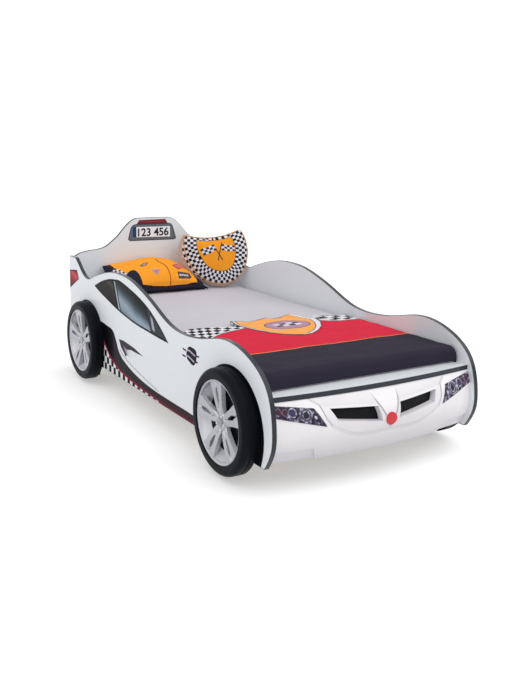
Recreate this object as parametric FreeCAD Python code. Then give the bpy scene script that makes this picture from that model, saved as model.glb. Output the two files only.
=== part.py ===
import FreeCAD, Part
import math
import os

V = FreeCAD.Vector

# Racing-car bed for a child. Millimetres, +Z up, nose towards -Y, headboard at +Y.
# The origin is on the floor under the middle of the bed.

# ---- driving sizes: mattress and boards ----
MATTRESS_WIDTH = 900.0
MATTRESS_LENGTH = 1900.0
MATTRESS_THICK = 165.0
MATTRESS_SIDE_GAP = 17.0
MATTRESS_END_GAP = 3.0
BOARD = 18.0
EDGE_BAND = 2.0
SOFT_GAP = 0.3
LEVEL_TOLERANCE = 0.01
CUT_MARGIN = 10.0
BASE_TOP = 250.0
HEAD_RISE = 390.0
PANEL_CLEARANCE = 106.0
NOSE_REACH = 138.0

# ---- wheels ----
WHEEL_DEPTH = 60.0
WHEEL_RADIUS = 200.0
WHEEL_FLOOR_GAP = 14.0
SHOULDER_RADIUS = 21.0
WHEEL_WALL = 4.0
WHEEL_BACK = 14.0
RIM_RADIUS = 157.5
RIM_WALL = 5.0
RIM_SETBACK = 4.0
RIM_FIT = 0.3
RIM_LIP = 4.0
RIM_LIP_BEVEL = 3.0
RIM_LIP_DEPTH = 9.0
RIM_LIP_FOOT = 14.0
TREAD_GROOVE_AT = 20.0
TREAD_GROOVE_WIDTH = 8.0
TREAD_GROOVE_DEPTH = 3.0
TREAD_GROOVE_SLOPE = 2.0
SPOKE_PAIRS = 5
SPOKE_PHASE = -7.0
SPOKE_SPREAD = 11.5
SPOKE_WIDTH_HUB = 15.0
SPOKE_WIDTH_RIM = 27.0
SPOKE_THICK = 11.0
SPOKE_DISH = 14.0
SPOKE_BEVEL = 2.0
SPOKE_ROOT = 8.0
HUB_RADIUS = 37.0
CAP_RADIUS = 16.0
CAP_HEIGHT = 5.0
LUG_CIRCLE = 26.0
LUG_RADIUS = 4.5
LUG_HEIGHT = 4.0
FRONT_AXLE_FROM_NOSE = 333.0
REAR_AXLE_FROM_TAIL = 290.0

# ---- side panels: (distance from the tail or the nose, height above the floor) ----
FIN_LENGTH = 92.0
FIN_HEIGHT = 614.0
TAIL_LINE = [(168, 564), (205, 542), (243, 529), (288, 527), (338, 542), (448, 575),
             (580, 603), (705, 609), (822, 600), (935, 573), (1045, 538)]
NOSE_LINE = [(840, 470), (748, 459), (660, 461), (535, 479), (417, 504), (343, 507),
             (271, 496), (202, 473), (141, 440), (92, 393), (63, 331), (51, 264),
             (49, 230), (53, 190), (68, 151)]
NOSE_TIP = 96.0

# ---- headboard: (distance from the middle, drop from the flat top) from the shoulder up ----
HEADBOARD_SHOULDER_DROP = 199.0
HEADBOARD_LINE = [(345, 164), (290, 152), (250, 126), (217, 99), (185, 64), (150, 28), (116, 6)]
HEADBOARD_FLAT = 82.0

# ---- nose: shelf over the front board, and the moulded bumper under it ----
SHELF_TOP = 359.0
SHELF_SETBACK_END = 96.0
SHELF_SETBACK_MIDDLE = 66.0
FRONT_BOARD_BOTTOM = 130.0
BUMPER_WALL = 4.0
BUMPER_SECTION_COUNT = 7
# (height, setback from the nose in the middle, setback at the ends)
BUMPER_PROFILE = [(341, 70, 98), (322, 48, 89), (296, 23, 81), (256, 5, 74), (214, 8, 72),
                  (172, 25, 78), (140, 40, 88), (120, 54, 96)]
# (distance in from the side panel, height) of the lamps and of the set-back skirts under them
LAMP_THICK = 2.0
LAMP_OUTLINE = [(1, 333), (157, 311), (195, 247), (1, 293)]
SKIRT_OUTLINE = [(-20, 166), (156, 166), (186, 100), (-20, 100)]
SKIRT_STEP = 12.0
# (distance from the middle, height) of the grille pockets
POCKET_OUTLINE = [(250, 304), (52, 291), (38, 236), (226, 262)]
POCKET_WALL = 3.0
POCKET_DEPTH = 28.0
GRILLE_THICK = 3.0
GRILLE_FIT = 0.3
NOSE_DISC_HEIGHT = 240.0
NOSE_DISC_RADIUS = 24.0
NOSE_DISC_THICK = 4.0

# ---- mattress base ----
BEARER_THICK = 25.0
BEARER_HEIGHT = 60.0
SLAT_THICK = 14.0
SLAT_WIDTH = 70.0
SLAT_COUNT = 11
SLAT_END_GAP = 2.0
BEAM_WIDTH = 40.0
BEAM_HANGER_SHEET = 2.5
BEAM_HANGER_LENGTH = 45.0
BEAM_HANGER_FLANGE = 20.0
BEAM_HANGER_DROP = 5.0
FOOT_SIDE = 50.0
FOOT_FROM_AXLE = 62.0
GLIDE_HEIGHT = 5.0
GLIDE_RADIUS = 18.0
BEAM_LEG_STATIONS = (-320.0, 420.0)
BRACKET_LEG = 32.0
BRACKET_SHEET = 2.5
BRACKET_HEIGHT = 45.0
BRACKET_DROP = 4.0

# ---- screws ----
WOOD_SCREW_RADIUS = 2.5
WOOD_SCREW_BITE = 12.0
SMALL_SCREW_RADIUS = 2.0
SMALL_SCREW_LENGTH = 14.0
SCREW_HEAD_RATIO = 2.0
SCREW_HEAD_HEIGHT = 3.0
WHEEL_SCREW_RADIUS = 3.0
WHEEL_SCREW_BITE = 10.0
WHEEL_BOSS_RADIUS = 9.0
WHEEL_SCREW_SPREAD = 110.0
WHEEL_SCREW_ABOVE = 66.0
WHEEL_SCREW_BELOW = 76.0
SIDE_BEARER_SCREWS = 6
CROSS_BEARER_SCREWS = 4
BEARER_SCREW_INSET = 60.0
FOOT_SCREWS_UP = (20.0, 50.0)
BRACKET_SCREW_REACH = 20.0
BRACKET_SCREW_SPREAD = 8.0

# ---- soft goods ----
MATTRESS_CORNER = 50.0
MATTRESS_EDGE = 28.0
COVERLET_TOP = 14.0
COVERLET_SIDE = 9.0
COVERLET_FOOT = 12.0
COVERLET_EDGE = 34.0
COVERLET_FROM_NOSE = 915.0
COVERLET_DROP = 52.0
COVERLET_BADGE = (95.0, 1010.0, 215.0, 135.0)
# (distance from the middle, depth, thickness, lean) of the pillow's sections, left to right
PILLOW_SECTIONS = [(-345, 306, 34, 28), (-273, 310, 96, 28.5), (-201, 314, 112, 30), (-129, 318, 118, 32),
                   (-57, 322, 118, 34), (15, 318, 118, 32.5), (87, 306, 110, 27), (159, 280, 76, 16),
                   (231, 170, 16, 2)]
CUSHION_HALF_WIDTH = 158.0
CUSHION_BULGE = 16.0
CUSHION_TOP = 148.0
CUSHION_TOP_DIP = 22.0
CUSHION_TIP = 150.0
# shares of the half width, and of the top or the tip, that place the turns of the outline
CUSHION_FULLEST = 0.35
CUSHION_FLANK = (0.86, 0.3)
CUSHION_TURN_IN = (0.52, 0.78)
CUSHION_THICK = 92.0
CUSHION_EDGE_THICK = 46.0
CUSHION_TURN = 25.0
CUSHION_LEAN = 9.0
CUSHION_ROLL = 9.4
CUSHION_PLACE = (297.2, 846.0)

# ---- worked-out stations ----
X_IN = MATTRESS_WIDTH / 2 + MATTRESS_SIDE_GAP
X_OUT = X_IN + BOARD
LENGTH = 2 * BOARD + 2 * MATTRESS_END_GAP + MATTRESS_LENGTH + NOSE_REACH
TAIL = LENGTH / 2
NOSE = -LENGTH / 2
HEADBOARD_FRONT = TAIL - BOARD
MATTRESS_HEAD = HEADBOARD_FRONT - MATTRESS_END_GAP
MATTRESS_FOOT = MATTRESS_HEAD - MATTRESS_LENGTH
FRONT_BOARD_BACK = MATTRESS_FOOT - MATTRESS_END_GAP
FRONT_BOARD_FACE = FRONT_BOARD_BACK - BOARD
SLEEP_TOP = BASE_TOP + MATTRESS_THICK
HEIGHT = SLEEP_TOP + HEAD_RISE
SLAT_TOP = BASE_TOP - SOFT_GAP
BEARER_TOP = SLAT_TOP - SLAT_THICK
BEARER_BOTTOM = BEARER_TOP - BEARER_HEIGHT
BEARER_FACE = X_IN - BEARER_THICK
SHELF_BOTTOM = SHELF_TOP - BOARD
FRONT_AXLE = NOSE + FRONT_AXLE_FROM_NOSE
REAR_AXLE = TAIL - REAR_AXLE_FROM_TAIL
AXLE_HEIGHT = WHEEL_FLOOR_GAP + WHEEL_RADIUS
RIM_BACK = WHEEL_BACK + WHEEL_WALL
RIM_FACE = WHEEL_DEPTH - RIM_SETBACK
HUB_FACE = RIM_FACE - SPOKE_DISH
WHEELS = [("front_left", -1, FRONT_AXLE), ("front_right", 1, FRONT_AXLE),
          ("rear_left", -1, REAR_AXLE), ("rear_right", 1, REAR_AXLE)]
ROOF_RUN_OUT = 10 * EDGE_BAND
SIDES = [("left", -1), ("right", 1)]
END_FACES = [(HEADBOARD_FRONT, -1), (FRONT_BOARD_BACK, 1)]


def save(shape, name):
    shape.exportStep("parts/" + name + ".step")


def box(x0, x1, y0, y1, z0, z1):
    return Part.makeBox(x1 - x0, y1 - y0, z1 - z0, V(x0, y0, z0))


def cylinder(radius, start, end):
    axis = end.sub(start)
    return Part.makeCylinder(radius, axis.Length, start, axis)


def polygon(points):
    return Part.makePolygon(list(points) + [points[0]])


def spline(points):
    curve = Part.BSplineCurve()
    curve.interpolate(points)
    return curve.toShape()


def arc(start, middle, end):
    return Part.Arc(start, middle, end).toShape()


def mirrored(shape):
    return shape.mirror(V(0, 0, 0), V(1, 0, 0))


def placed(shape, x, y, z):
    moved = shape.copy()
    moved.translate(V(x, y, z))
    return moved


# ---- screws, whose solids also cut the holes in the pieces that they join ----
class Screws:
    """Pan-head screws of one size."""

    def __init__(self, radius):
        self.radius = radius
        self.solids = []

    def add(self, head_seat, direction, length):
        tip = head_seat.add(V(direction).multiply(length))
        head_top = head_seat.sub(V(direction).multiply(SCREW_HEAD_HEIGHT))
        shank = cylinder(self.radius, head_seat, tip)
        head = cylinder(self.radius * SCREW_HEAD_RATIO, head_top, head_seat)
        self.solids.append(head.fuse(shank).removeSplitter())


wheel_screws = Screws(WHEEL_SCREW_RADIUS)
wood_screws = Screws(WOOD_SCREW_RADIUS)
small_screws = Screws(SMALL_SCREW_RADIUS)


def drilled(shape):
    """Cuts every screw hole that passes through the piece."""
    bounds = shape.BoundBox
    screws = wheel_screws.solids + wood_screws.solids + small_screws.solids
    holes = [screw for screw in screws if bounds.intersect(screw.BoundBox)]
    return shape.cut(holes) if holes else shape


def evenly(first, last, count):
    step = (last - first) / (count - 1)
    return [first + step * i for i in range(count)]


# ---- side panels ----
def roof_line(x):
    """Points of the shaped top edge in the plane at x, from the fin's end over the nose to the sill."""
    points = [V(x, TAIL - FIN_LENGTH, FIN_HEIGHT)]
    points += [V(x, TAIL - back, height) for back, height in TAIL_LINE]
    points += [V(x, NOSE + ahead, height) for ahead, height in NOSE_LINE]
    points.append(V(x, NOSE + NOSE_TIP, PANEL_CLEARANCE))
    return points


def side_outline(x):
    """The whole panel: tail, fin, roof line, bonnet, nose and the straight sill."""
    top = roof_line(x)
    heel = V(x, TAIL, PANEL_CLEARANCE)
    fin_corner = V(x, TAIL, FIN_HEIGHT)
    return Part.Wire([Part.makeLine(heel, fin_corner), Part.makeLine(fin_corner, top[0]), spline(top),
                      Part.makeLine(top[-1], heel)])


def under_roof_line(x):
    """Everything under the roof line once the edge band's thickness is taken off it."""
    top = roof_line(x)
    curve = Part.BSplineCurve()
    curve.interpolate(top)
    tangents = [curve.tangent(curve.parameter(point))[0] for point in top]
    inner = []
    for point, tangent in zip(top, tangents):
        inner.append(point.add(V(1, 0, 0).cross(tangent).multiply(EDGE_BAND)))
    first = inner[0].sub(V(tangents[0]).multiply(ROOF_RUN_OUT))
    last = inner[-1].add(V(tangents[-1]).multiply(ROOF_RUN_OUT))
    behind = TAIL + ROOF_RUN_OUT
    return Part.Wire([Part.makeLine(first, inner[0]), spline(inner), Part.makeLine(inner[-1], last),
                      Part.makeLine(last, V(x, behind, last.z)),
                      Part.makeLine(V(x, behind, last.z), V(x, behind, first.z)),
                      Part.makeLine(V(x, behind, first.z), first)])


def side_panel_and_band(side):
    outward = V(side * BOARD, 0, 0)
    x0, x1 = sorted((side * X_IN, side * X_OUT))
    whole = Part.Face(side_outline(side * X_IN)).extrude(outward)
    core = Part.Face(under_roof_line(side * X_IN)).extrude(outward)
    core = core.common(box(x0, x1, NOSE, TAIL - EDGE_BAND, PANEL_CLEARANCE + EDGE_BAND, HEIGHT))
    core = core.cut(box(x0, x1, TAIL - FIN_LENGTH - ROOF_RUN_OUT, TAIL, FIN_HEIGHT - EDGE_BAND, HEIGHT))
    return core, whole.cut(core)


# ---- headboard ----
def headboard_outline(y):
    right = [V(x, y, HEIGHT - drop) for x, drop in HEADBOARD_LINE]
    shoulder = V(X_IN, y, HEIGHT - HEADBOARD_SHOULDER_DROP)
    crown = V(HEADBOARD_FLAT, y, HEIGHT)
    right_points = [shoulder] + right + [crown]
    left_points = [V(-p.x, p.y, p.z) for p in reversed(right_points)]
    foot_right = V(X_IN, y, PANEL_CLEARANCE)
    foot_left = V(-X_IN, y, PANEL_CLEARANCE)
    edges = [Part.makeLine(foot_right, shoulder), spline(right_points),
             Part.makeLine(crown, left_points[0]), spline(left_points),
             Part.makeLine(left_points[-1], foot_left), Part.makeLine(foot_left, foot_right)]
    return Part.Wire(edges)


def headboard_and_band():
    """The band caps only the shaped top edge, because the sides and the foot are hidden."""
    face = Part.Face(headboard_outline(HEADBOARD_FRONT))
    lowered = placed(face, 0, 0, -EDGE_BAND)
    backward = V(0, BOARD, 0)
    core = face.common(lowered)
    band_zone = box(-X_IN, X_IN, HEADBOARD_FRONT - CUT_MARGIN, TAIL, SLEEP_TOP, HEIGHT + CUT_MARGIN)
    band = face.cut(core).common(band_zone)
    return core.extrude(backward), band.extrude(backward)


# ---- nose ----
def front_board():
    return box(-X_IN, X_IN, FRONT_BOARD_FACE, FRONT_BOARD_BACK, FRONT_BOARD_BOTTOM, SHELF_BOTTOM)


def shelf_face(band):
    """Plan of the shelf, whose front edge bows forward; band is the strip left for the edging."""
    left_end = V(-X_IN, NOSE + SHELF_SETBACK_END + band, SHELF_BOTTOM)
    right_end = V(X_IN, NOSE + SHELF_SETBACK_END + band, SHELF_BOTTOM)
    middle = V(0, NOSE + SHELF_SETBACK_MIDDLE + band, SHELF_BOTTOM)
    back_left = V(-X_IN, FRONT_BOARD_BACK, SHELF_BOTTOM)
    back_right = V(X_IN, FRONT_BOARD_BACK, SHELF_BOTTOM)
    edges = [arc(left_end, middle, right_end), Part.makeLine(right_end, back_right),
             Part.makeLine(back_right, back_left), Part.makeLine(back_left, left_end)]
    return Part.Face(Part.Wire(edges))


def shelf_and_band():
    whole = shelf_face(0).extrude(V(0, 0, BOARD))
    core = shelf_face(EDGE_BAND).extrude(V(0, 0, BOARD))
    return core, whole.cut(core)


def bumper_skin(back, thickness):
    """A skin of the bumper's form, thickness deep along Y, whose front lies back behind the bumper's."""
    sections = []
    for share in evenly(-1, 1, BUMPER_SECTION_COUNT):
        bow = 1 - share * share
        front = []
        for height, middle, end in BUMPER_PROFILE:
            setback = end + (middle - end) * bow
            front.append(V(share * X_IN, NOSE + setback + back, height))
        rear = [V(p.x, p.y + thickness, p.z) for p in reversed(front)]
        edges = [spline(front), Part.makeLine(front[-1], rear[0]), spline(rear),
                 Part.makeLine(rear[-1], front[0])]
        sections.append(Part.Wire(edges))
    return Part.makeLoft(sections, True, False)


def nose_prism(outline, side):
    """A prism along Y, right through the nose, over an outline of (distance from the middle, height)."""
    points = [V(side * x, NOSE - CUT_MARGIN, z) for x, z in outline]
    return Part.Face(polygon(points)).extrude(V(0, FRONT_BOARD_FACE - NOSE + CUT_MARGIN, 0))


def from_the_side(outline):
    """Turns distances in from the side panel into distances from the middle."""
    return [(X_IN - inboard, z) for inboard, z in outline]


def grown(outline, margin):
    """The outline moved outwards by a margin on every side."""
    face = Part.Face(polygon([V(x, z, 0) for x, z in outline])).makeOffset2D(margin, 2)
    return [(v.Point.x, v.Point.y) for v in face.OuterWire.OrderedVertexes]


def bumper_group():
    shell = bumper_skin(0, BUMPER_WALL)
    deep = bumper_skin(0, POCKET_DEPTH + GRILLE_THICK)
    stepped = bumper_skin(0, SKIRT_STEP + BUMPER_WALL)
    skirt_skin = bumper_skin(SKIRT_STEP, BUMPER_WALL)
    lamp_outline, skirt_outline = from_the_side(LAMP_OUTLINE), from_the_side(SKIRT_OUTLINE)
    lamp_skin = bumper_skin(-LAMP_THICK, LAMP_THICK)
    insert_skin = bumper_skin(POCKET_DEPTH, GRILLE_THICK)
    for _, side in SIDES:
        mouth = nose_prism(POCKET_OUTLINE, side)
        sleeve = nose_prism(grown(POCKET_OUTLINE, POCKET_WALL), side)
        shell = shell.fuse(deep.common(sleeve)).cut(mouth)
        skirt = nose_prism(skirt_outline, side)
        step = stepped.common(nose_prism(grown(skirt_outline, BUMPER_WALL), side))
        shell = shell.fuse(step).cut(skirt).fuse(skirt_skin.common(skirt))
    shell = shell.removeSplitter()
    pieces = {"bumper_shell": shell}
    for name, side in SIDES:
        lamp = lamp_skin.common(nose_prism(lamp_outline, side))
        insert = insert_skin.common(nose_prism(grown(POCKET_OUTLINE, -GRILLE_FIT), side))
        pieces["headlamp_panel_" + name] = lamp
        pieces["grille_insert_" + name] = insert
    disc = cylinder(NOSE_DISC_RADIUS, V(0, NOSE - CUT_MARGIN, NOSE_DISC_HEIGHT),
                    V(0, FRONT_BOARD_FACE, NOSE_DISC_HEIGHT))
    pieces["nose_disc"] = bumper_skin(-NOSE_DISC_THICK, NOSE_DISC_THICK).common(disc)
    return pieces


# ---- wheels, built with their axis along +X from the panel outwards ----
def revolved(profile):
    return Part.Face(profile).revolve(V(0, 0, 0), V(1, 0, 0), 360)


def tyre_profile():
    """Section of the hollow moulded tyre with its back disc, as (depth from the panel, radius)."""
    radius, depth, wall = WHEEL_RADIUS, WHEEL_DEPTH, WHEEL_WALL
    well = RIM_RADIUS + RIM_FIT
    turn = math.sqrt(0.5)
    shoulder = depth - SHOULDER_RADIUS
    groove_end = TREAD_GROOVE_AT + TREAD_GROOVE_WIDTH
    floor = radius - TREAD_GROOVE_DEPTH
    outer_mid = (shoulder + SHOULDER_RADIUS * turn, radius - SHOULDER_RADIUS + SHOULDER_RADIUS * turn)
    inner_radius = SHOULDER_RADIUS - wall
    inner_mid = (shoulder + inner_radius * turn, radius - SHOULDER_RADIUS + inner_radius * turn)

    def p(point):
        return V(point[0], 0, point[1])

    tread = [(0, radius), (TREAD_GROOVE_AT, radius), (TREAD_GROOVE_AT + TREAD_GROOVE_SLOPE, floor),
             (groove_end - TREAD_GROOVE_SLOPE, floor), (groove_end, radius), (shoulder, radius)]
    face = [(depth, radius - SHOULDER_RADIUS), (depth, well + wall), (depth - wall, well), (RIM_BACK, well),
            (RIM_BACK, 0), (WHEEL_BACK, 0), (WHEEL_BACK, well + wall), (depth - 2 * wall, well + wall),
            (depth - wall, well + 2 * wall), (depth - wall, radius - SHOULDER_RADIUS)]
    inside = [(shoulder, floor - wall), (0, floor - wall), (0, radius)]
    edges = [Part.makePolygon([p(q) for q in tread])]
    edges.append(arc(p(tread[-1]), p(outer_mid), p(face[0])))
    edges.append(Part.makePolygon([p(q) for q in face]))
    edges.append(arc(p(face[-1]), p(inner_mid), p((shoulder, radius - wall))))
    edges.append(Part.makePolygon([p((shoulder, radius - wall))] + [p(q) for q in inside]))
    return Part.Wire([edge for part in edges for edge in part.Edges])


def wheel_screw_places():
    return [(y, z) for y in (-WHEEL_SCREW_SPREAD, WHEEL_SCREW_SPREAD)
            for z in (-WHEEL_SCREW_BELOW, WHEEL_SCREW_ABOVE)]


def tyre():
    body = revolved(tyre_profile())
    bosses = []
    for y, z in wheel_screw_places():
        bosses.append(cylinder(WHEEL_BOSS_RADIUS, V(0, y, z), V(WHEEL_BACK, y, z)))
    return body.fuse(bosses).removeSplitter()


def spoke(angle):
    """One spoke of a pair, narrow and set back at the hub, wide at the rim; angle is from +Z to the front."""
    def section(radius, width, face):
        half = width / 2
        corners = [(face - SPOKE_THICK, -half), (face, SPOKE_BEVEL - half), (face, half - SPOKE_BEVEL),
                   (face - SPOKE_THICK, half)]
        return polygon([V(x, y, radius) for x, y in corners])

    inner = section(HUB_RADIUS - SPOKE_ROOT, SPOKE_WIDTH_HUB, HUB_FACE)
    outer = section(RIM_RADIUS - RIM_WALL / 2, SPOKE_WIDTH_RIM, RIM_FACE)
    arm = Part.makeLoft([inner, outer], True, True)
    arm.rotate(V(0, 0, 0), V(1, 0, 0), angle)
    return arm


def rim():
    bore = RIM_RADIUS - RIM_WALL
    barrel = [(RIM_BACK, RIM_RADIUS), (RIM_FACE, RIM_RADIUS), (RIM_FACE, bore),
              (RIM_FACE - RIM_LIP_BEVEL, bore - RIM_LIP), (RIM_FACE - RIM_LIP_DEPTH, bore - RIM_LIP),
              (RIM_FACE - RIM_LIP_FOOT, bore), (RIM_BACK, bore)]
    body = revolved(polygon([V(u, 0, r) for u, r in barrel]))
    hub = cylinder(HUB_RADIUS, V(RIM_BACK, 0, 0), V(HUB_FACE, 0, 0))
    arms = []
    for pair in range(SPOKE_PAIRS):
        middle = SPOKE_PHASE + 360.0 / SPOKE_PAIRS * pair
        for twin in (-1, 1):
            arms.append(spoke(middle + twin * SPOKE_SPREAD))
    return body.fuse([hub] + arms).removeSplitter()


def hub_cap():
    cap = cylinder(CAP_RADIUS, V(HUB_FACE, 0, 0), V(HUB_FACE + CAP_HEIGHT, 0, 0))
    rim_edges = [e for e in cap.Edges if e.BoundBox.XMin > HUB_FACE + CAP_HEIGHT / 2]
    return cap.makeFillet(CAP_HEIGHT / 2, rim_edges)


def lug_bolts():
    step = 360.0 / SPOKE_PAIRS
    bolts = []
    for i in range(SPOKE_PAIRS):
        turn = math.radians(SPOKE_PHASE + step * (i + 0.5))
        y, z = -LUG_CIRCLE * math.sin(turn), LUG_CIRCLE * math.cos(turn)
        bolts.append(cylinder(LUG_RADIUS, V(HUB_FACE, y, z), V(HUB_FACE + LUG_HEIGHT, y, z)))
    return Part.makeCompound(bolts)


def at_wheel(shape, side, axle):
    turned = mirrored(shape) if side < 0 else shape
    return placed(turned, side * X_OUT, axle, AXLE_HEIGHT)


# ---- mattress base ----
def side_bearer(side):
    x0, x1 = sorted((side * BEARER_FACE, side * X_IN))
    return box(x0, x1, FRONT_BOARD_BACK, HEADBOARD_FRONT, BEARER_BOTTOM, BEARER_TOP)


def head_bearer():
    return box(-BEARER_FACE, BEARER_FACE, HEADBOARD_FRONT - BEARER_THICK, HEADBOARD_FRONT,
               BEARER_BOTTOM, BEARER_TOP)


def foot_bearer():
    return box(-BEARER_FACE, BEARER_FACE, FRONT_BOARD_BACK, FRONT_BOARD_BACK + BEARER_THICK,
               BEARER_BOTTOM, BEARER_TOP)


def centre_beam():
    return box(-BEAM_WIDTH / 2, BEAM_WIDTH / 2, FRONT_BOARD_BACK + BEARER_THICK,
               HEADBOARD_FRONT - BEARER_THICK, BEARER_BOTTOM, BEARER_TOP)


def beam_hanger(bearer_face, inward):
    """Sheet-steel shoe that carries one end of the centre beam on the face of a cross bearer."""
    half, sheet = BEAM_WIDTH / 2, BEAM_HANGER_SHEET
    y0, y1 = sorted((bearer_face, bearer_face + inward * BEAM_HANGER_LENGTH))
    top = BEARER_TOP - BEAM_HANGER_DROP
    trough = box(-half - sheet, half + sheet, y0, y1, BEARER_BOTTOM - sheet, top)
    trough = trough.cut(box(-half, half, y0, y1, BEARER_BOTTOM, BEARER_TOP))
    y2, y3 = sorted((bearer_face, bearer_face + inward * sheet))
    flanges = []
    for side in (-1, 1):
        x0, x1 = sorted((side * (half + sheet), side * (half + sheet + BEAM_HANGER_FLANGE)))
        flanges.append(box(x0, x1, y2, y3, BEARER_BOTTOM, top))
    return trough.fuse(flanges).removeSplitter()


def slat_middles():
    inset = BEARER_THICK + SLAT_WIDTH / 2
    return evenly(FRONT_BOARD_BACK + inset, HEADBOARD_FRONT - inset, SLAT_COUNT)


def slat(middle):
    half = X_IN - SLAT_END_GAP
    return box(-half, half, middle - SLAT_WIDTH / 2, middle + SLAT_WIDTH / 2, BEARER_TOP, SLAT_TOP)


def foot_stations():
    return [("front", FRONT_AXLE + FOOT_FROM_AXLE), ("rear", REAR_AXLE + FOOT_FROM_AXLE)]


def foot_post(side, y):
    x0, x1 = sorted((side * X_IN, side * (X_IN - FOOT_SIDE)))
    return box(x0, x1, y - FOOT_SIDE / 2, y + FOOT_SIDE / 2, GLIDE_HEIGHT, BEARER_BOTTOM)


def beam_leg(y):
    half = BEAM_WIDTH / 2
    return box(-half, half, y - half, y + half, GLIDE_HEIGHT, BEARER_BOTTOM)


def glide(x, y):
    return cylinder(GLIDE_RADIUS, V(x, y, 0), V(x, y, GLIDE_HEIGHT))


def corner_bracket(side, end_face, inward):
    """Steel angle in the corner between a side panel and an end board, under the bearers."""
    top = BEARER_BOTTOM - BRACKET_DROP
    bottom = top - BRACKET_HEIGHT
    x_wall, x_tip = side * X_IN, side * (X_IN - BRACKET_LEG)
    x_sheet = side * (X_IN - BRACKET_SHEET)
    y_tip = end_face + inward * BRACKET_LEG
    y_sheet = end_face + inward * BRACKET_SHEET
    along_end = box(*sorted((x_wall, x_tip)), *sorted((end_face, y_sheet)), bottom, top)
    along_side = box(*sorted((x_wall, x_sheet)), *sorted((end_face, y_tip)), bottom, top)
    return along_end.fuse(along_side).removeSplitter()


def place_screws():
    """Puts every screw where the pieces that it joins meet."""
    for _, side, axle in WHEELS:
        for y, z in wheel_screw_places():
            seat = V(side * X_IN, axle + y, AXLE_HEIGHT + z)
            wheel_screws.add(seat, V(side, 0, 0), BOARD + WHEEL_SCREW_BITE)
    bearer_middle = (BEARER_TOP + BEARER_BOTTOM) / 2
    long_screw = BEARER_THICK + WOOD_SCREW_BITE
    for _, side in SIDES:
        for y in evenly(FRONT_BOARD_BACK + BEARER_SCREW_INSET, HEADBOARD_FRONT - BEARER_SCREW_INSET,
                        SIDE_BEARER_SCREWS):
            wood_screws.add(V(side * BEARER_FACE, y, bearer_middle), V(side, 0, 0), long_screw)
        for _, y in foot_stations():
            for up in FOOT_SCREWS_UP:
                seat = V(side * (X_IN - FOOT_SIDE), y, PANEL_CLEARANCE + up)
                wood_screws.add(seat, V(side, 0, 0), FOOT_SIDE + WOOD_SCREW_BITE)
    cross_half = BEARER_FACE - BEARER_SCREW_INSET
    for x in evenly(-cross_half, cross_half, CROSS_BEARER_SCREWS):
        wood_screws.add(V(x, HEADBOARD_FRONT - BEARER_THICK, bearer_middle), V(0, 1, 0), long_screw)
        wood_screws.add(V(x, FRONT_BOARD_BACK + BEARER_THICK, bearer_middle), V(0, -1, 0), long_screw)
    bracket_middle = BEARER_BOTTOM - BRACKET_DROP - BRACKET_HEIGHT / 2
    for _, side in SIDES:
        for face, inward in END_FACES:
            for z in (bracket_middle - BRACKET_SCREW_SPREAD, bracket_middle + BRACKET_SCREW_SPREAD):
                side_seat = V(side * (X_IN - BRACKET_SHEET), face + inward * BRACKET_SCREW_REACH, z)
                end_seat = V(side * (X_IN - BRACKET_SCREW_REACH), face + inward * BRACKET_SHEET, z)
                small_screws.add(side_seat, V(side, 0, 0), SMALL_SCREW_LENGTH)
                small_screws.add(end_seat, V(0, -inward, 0), SMALL_SCREW_LENGTH)
        for middle in slat_middles():
            seat = V(side * (X_IN - BEARER_THICK / 2), middle, SLAT_TOP - SCREW_HEAD_HEIGHT)
            small_screws.add(seat, V(0, 0, -1), SMALL_SCREW_LENGTH + SLAT_THICK)


# ---- soft goods ----
def soft_block(x_half, y0, y1, z0, z1, corner, edge):
    """A block with rounded upright corners and soft top and bottom edges."""
    block = box(-x_half, x_half, y0, y1, z0, z1)
    upright = [e for e in block.Edges if abs(e.BoundBox.ZLength - (z1 - z0)) < LEVEL_TOLERANCE]
    block = block.makeFillet(corner, upright)
    level = [e for e in block.Edges if e.BoundBox.ZLength < LEVEL_TOLERANCE]
    return block.makeFillet(edge, level)


def mattress():
    return soft_block(MATTRESS_WIDTH / 2, MATTRESS_FOOT, MATTRESS_HEAD, BASE_TOP, SLEEP_TOP,
                      MATTRESS_CORNER, MATTRESS_EDGE)


def coverlet():
    """Quilted cover over the foot end: it drops at the foot and is tucked in at the sides."""
    half = MATTRESS_WIDTH / 2
    drop = SLEEP_TOP - COVERLET_DROP
    outer = soft_block(half + COVERLET_SIDE, MATTRESS_FOOT - COVERLET_FOOT, MATTRESS_HEAD, BASE_TOP,
                       SLEEP_TOP + COVERLET_TOP, MATTRESS_CORNER, COVERLET_EDGE)
    inner = soft_block(half + SOFT_GAP, MATTRESS_FOOT - SOFT_GAP, MATTRESS_HEAD + CUT_MARGIN,
                       BASE_TOP - CUT_MARGIN, SLEEP_TOP + SOFT_GAP, MATTRESS_CORNER, MATTRESS_EDGE)
    top = SLEEP_TOP + COVERLET_TOP + CUT_MARGIN
    reach = half + COVERLET_SIDE + CUT_MARGIN
    zone = box(-reach, reach, NOSE, NOSE + COVERLET_FROM_NOSE, drop, top)
    badge_x, badge_from_nose, badge_width, badge_depth = COVERLET_BADGE
    ellipse = Part.Ellipse(V(badge_x, NOSE + badge_from_nose - badge_depth, drop), badge_width, badge_depth)
    badge = Part.Face(Part.Wire(ellipse.toShape())).extrude(V(0, 0, top - drop))
    return outer.cut(inner).common(zone.fuse(badge)).removeSplitter()


def pillow_section(x, depth, thick, lean):
    """A lens of two arcs, leaning back from its front edge, with its lowest point on the sheet."""
    front, back = V(x, 0, 0), V(x, depth, 0)
    rise = thick / 2
    lens = Part.Wire([arc(front, V(x, depth / 2, rise), back), arc(back, V(x, depth / 2, -rise), front)])
    lens.rotate(front, V(1, 0, 0), lean)
    return placed(lens, 0, 0, SLEEP_TOP - lens.optimalBoundingBox(False).ZMin)


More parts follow.
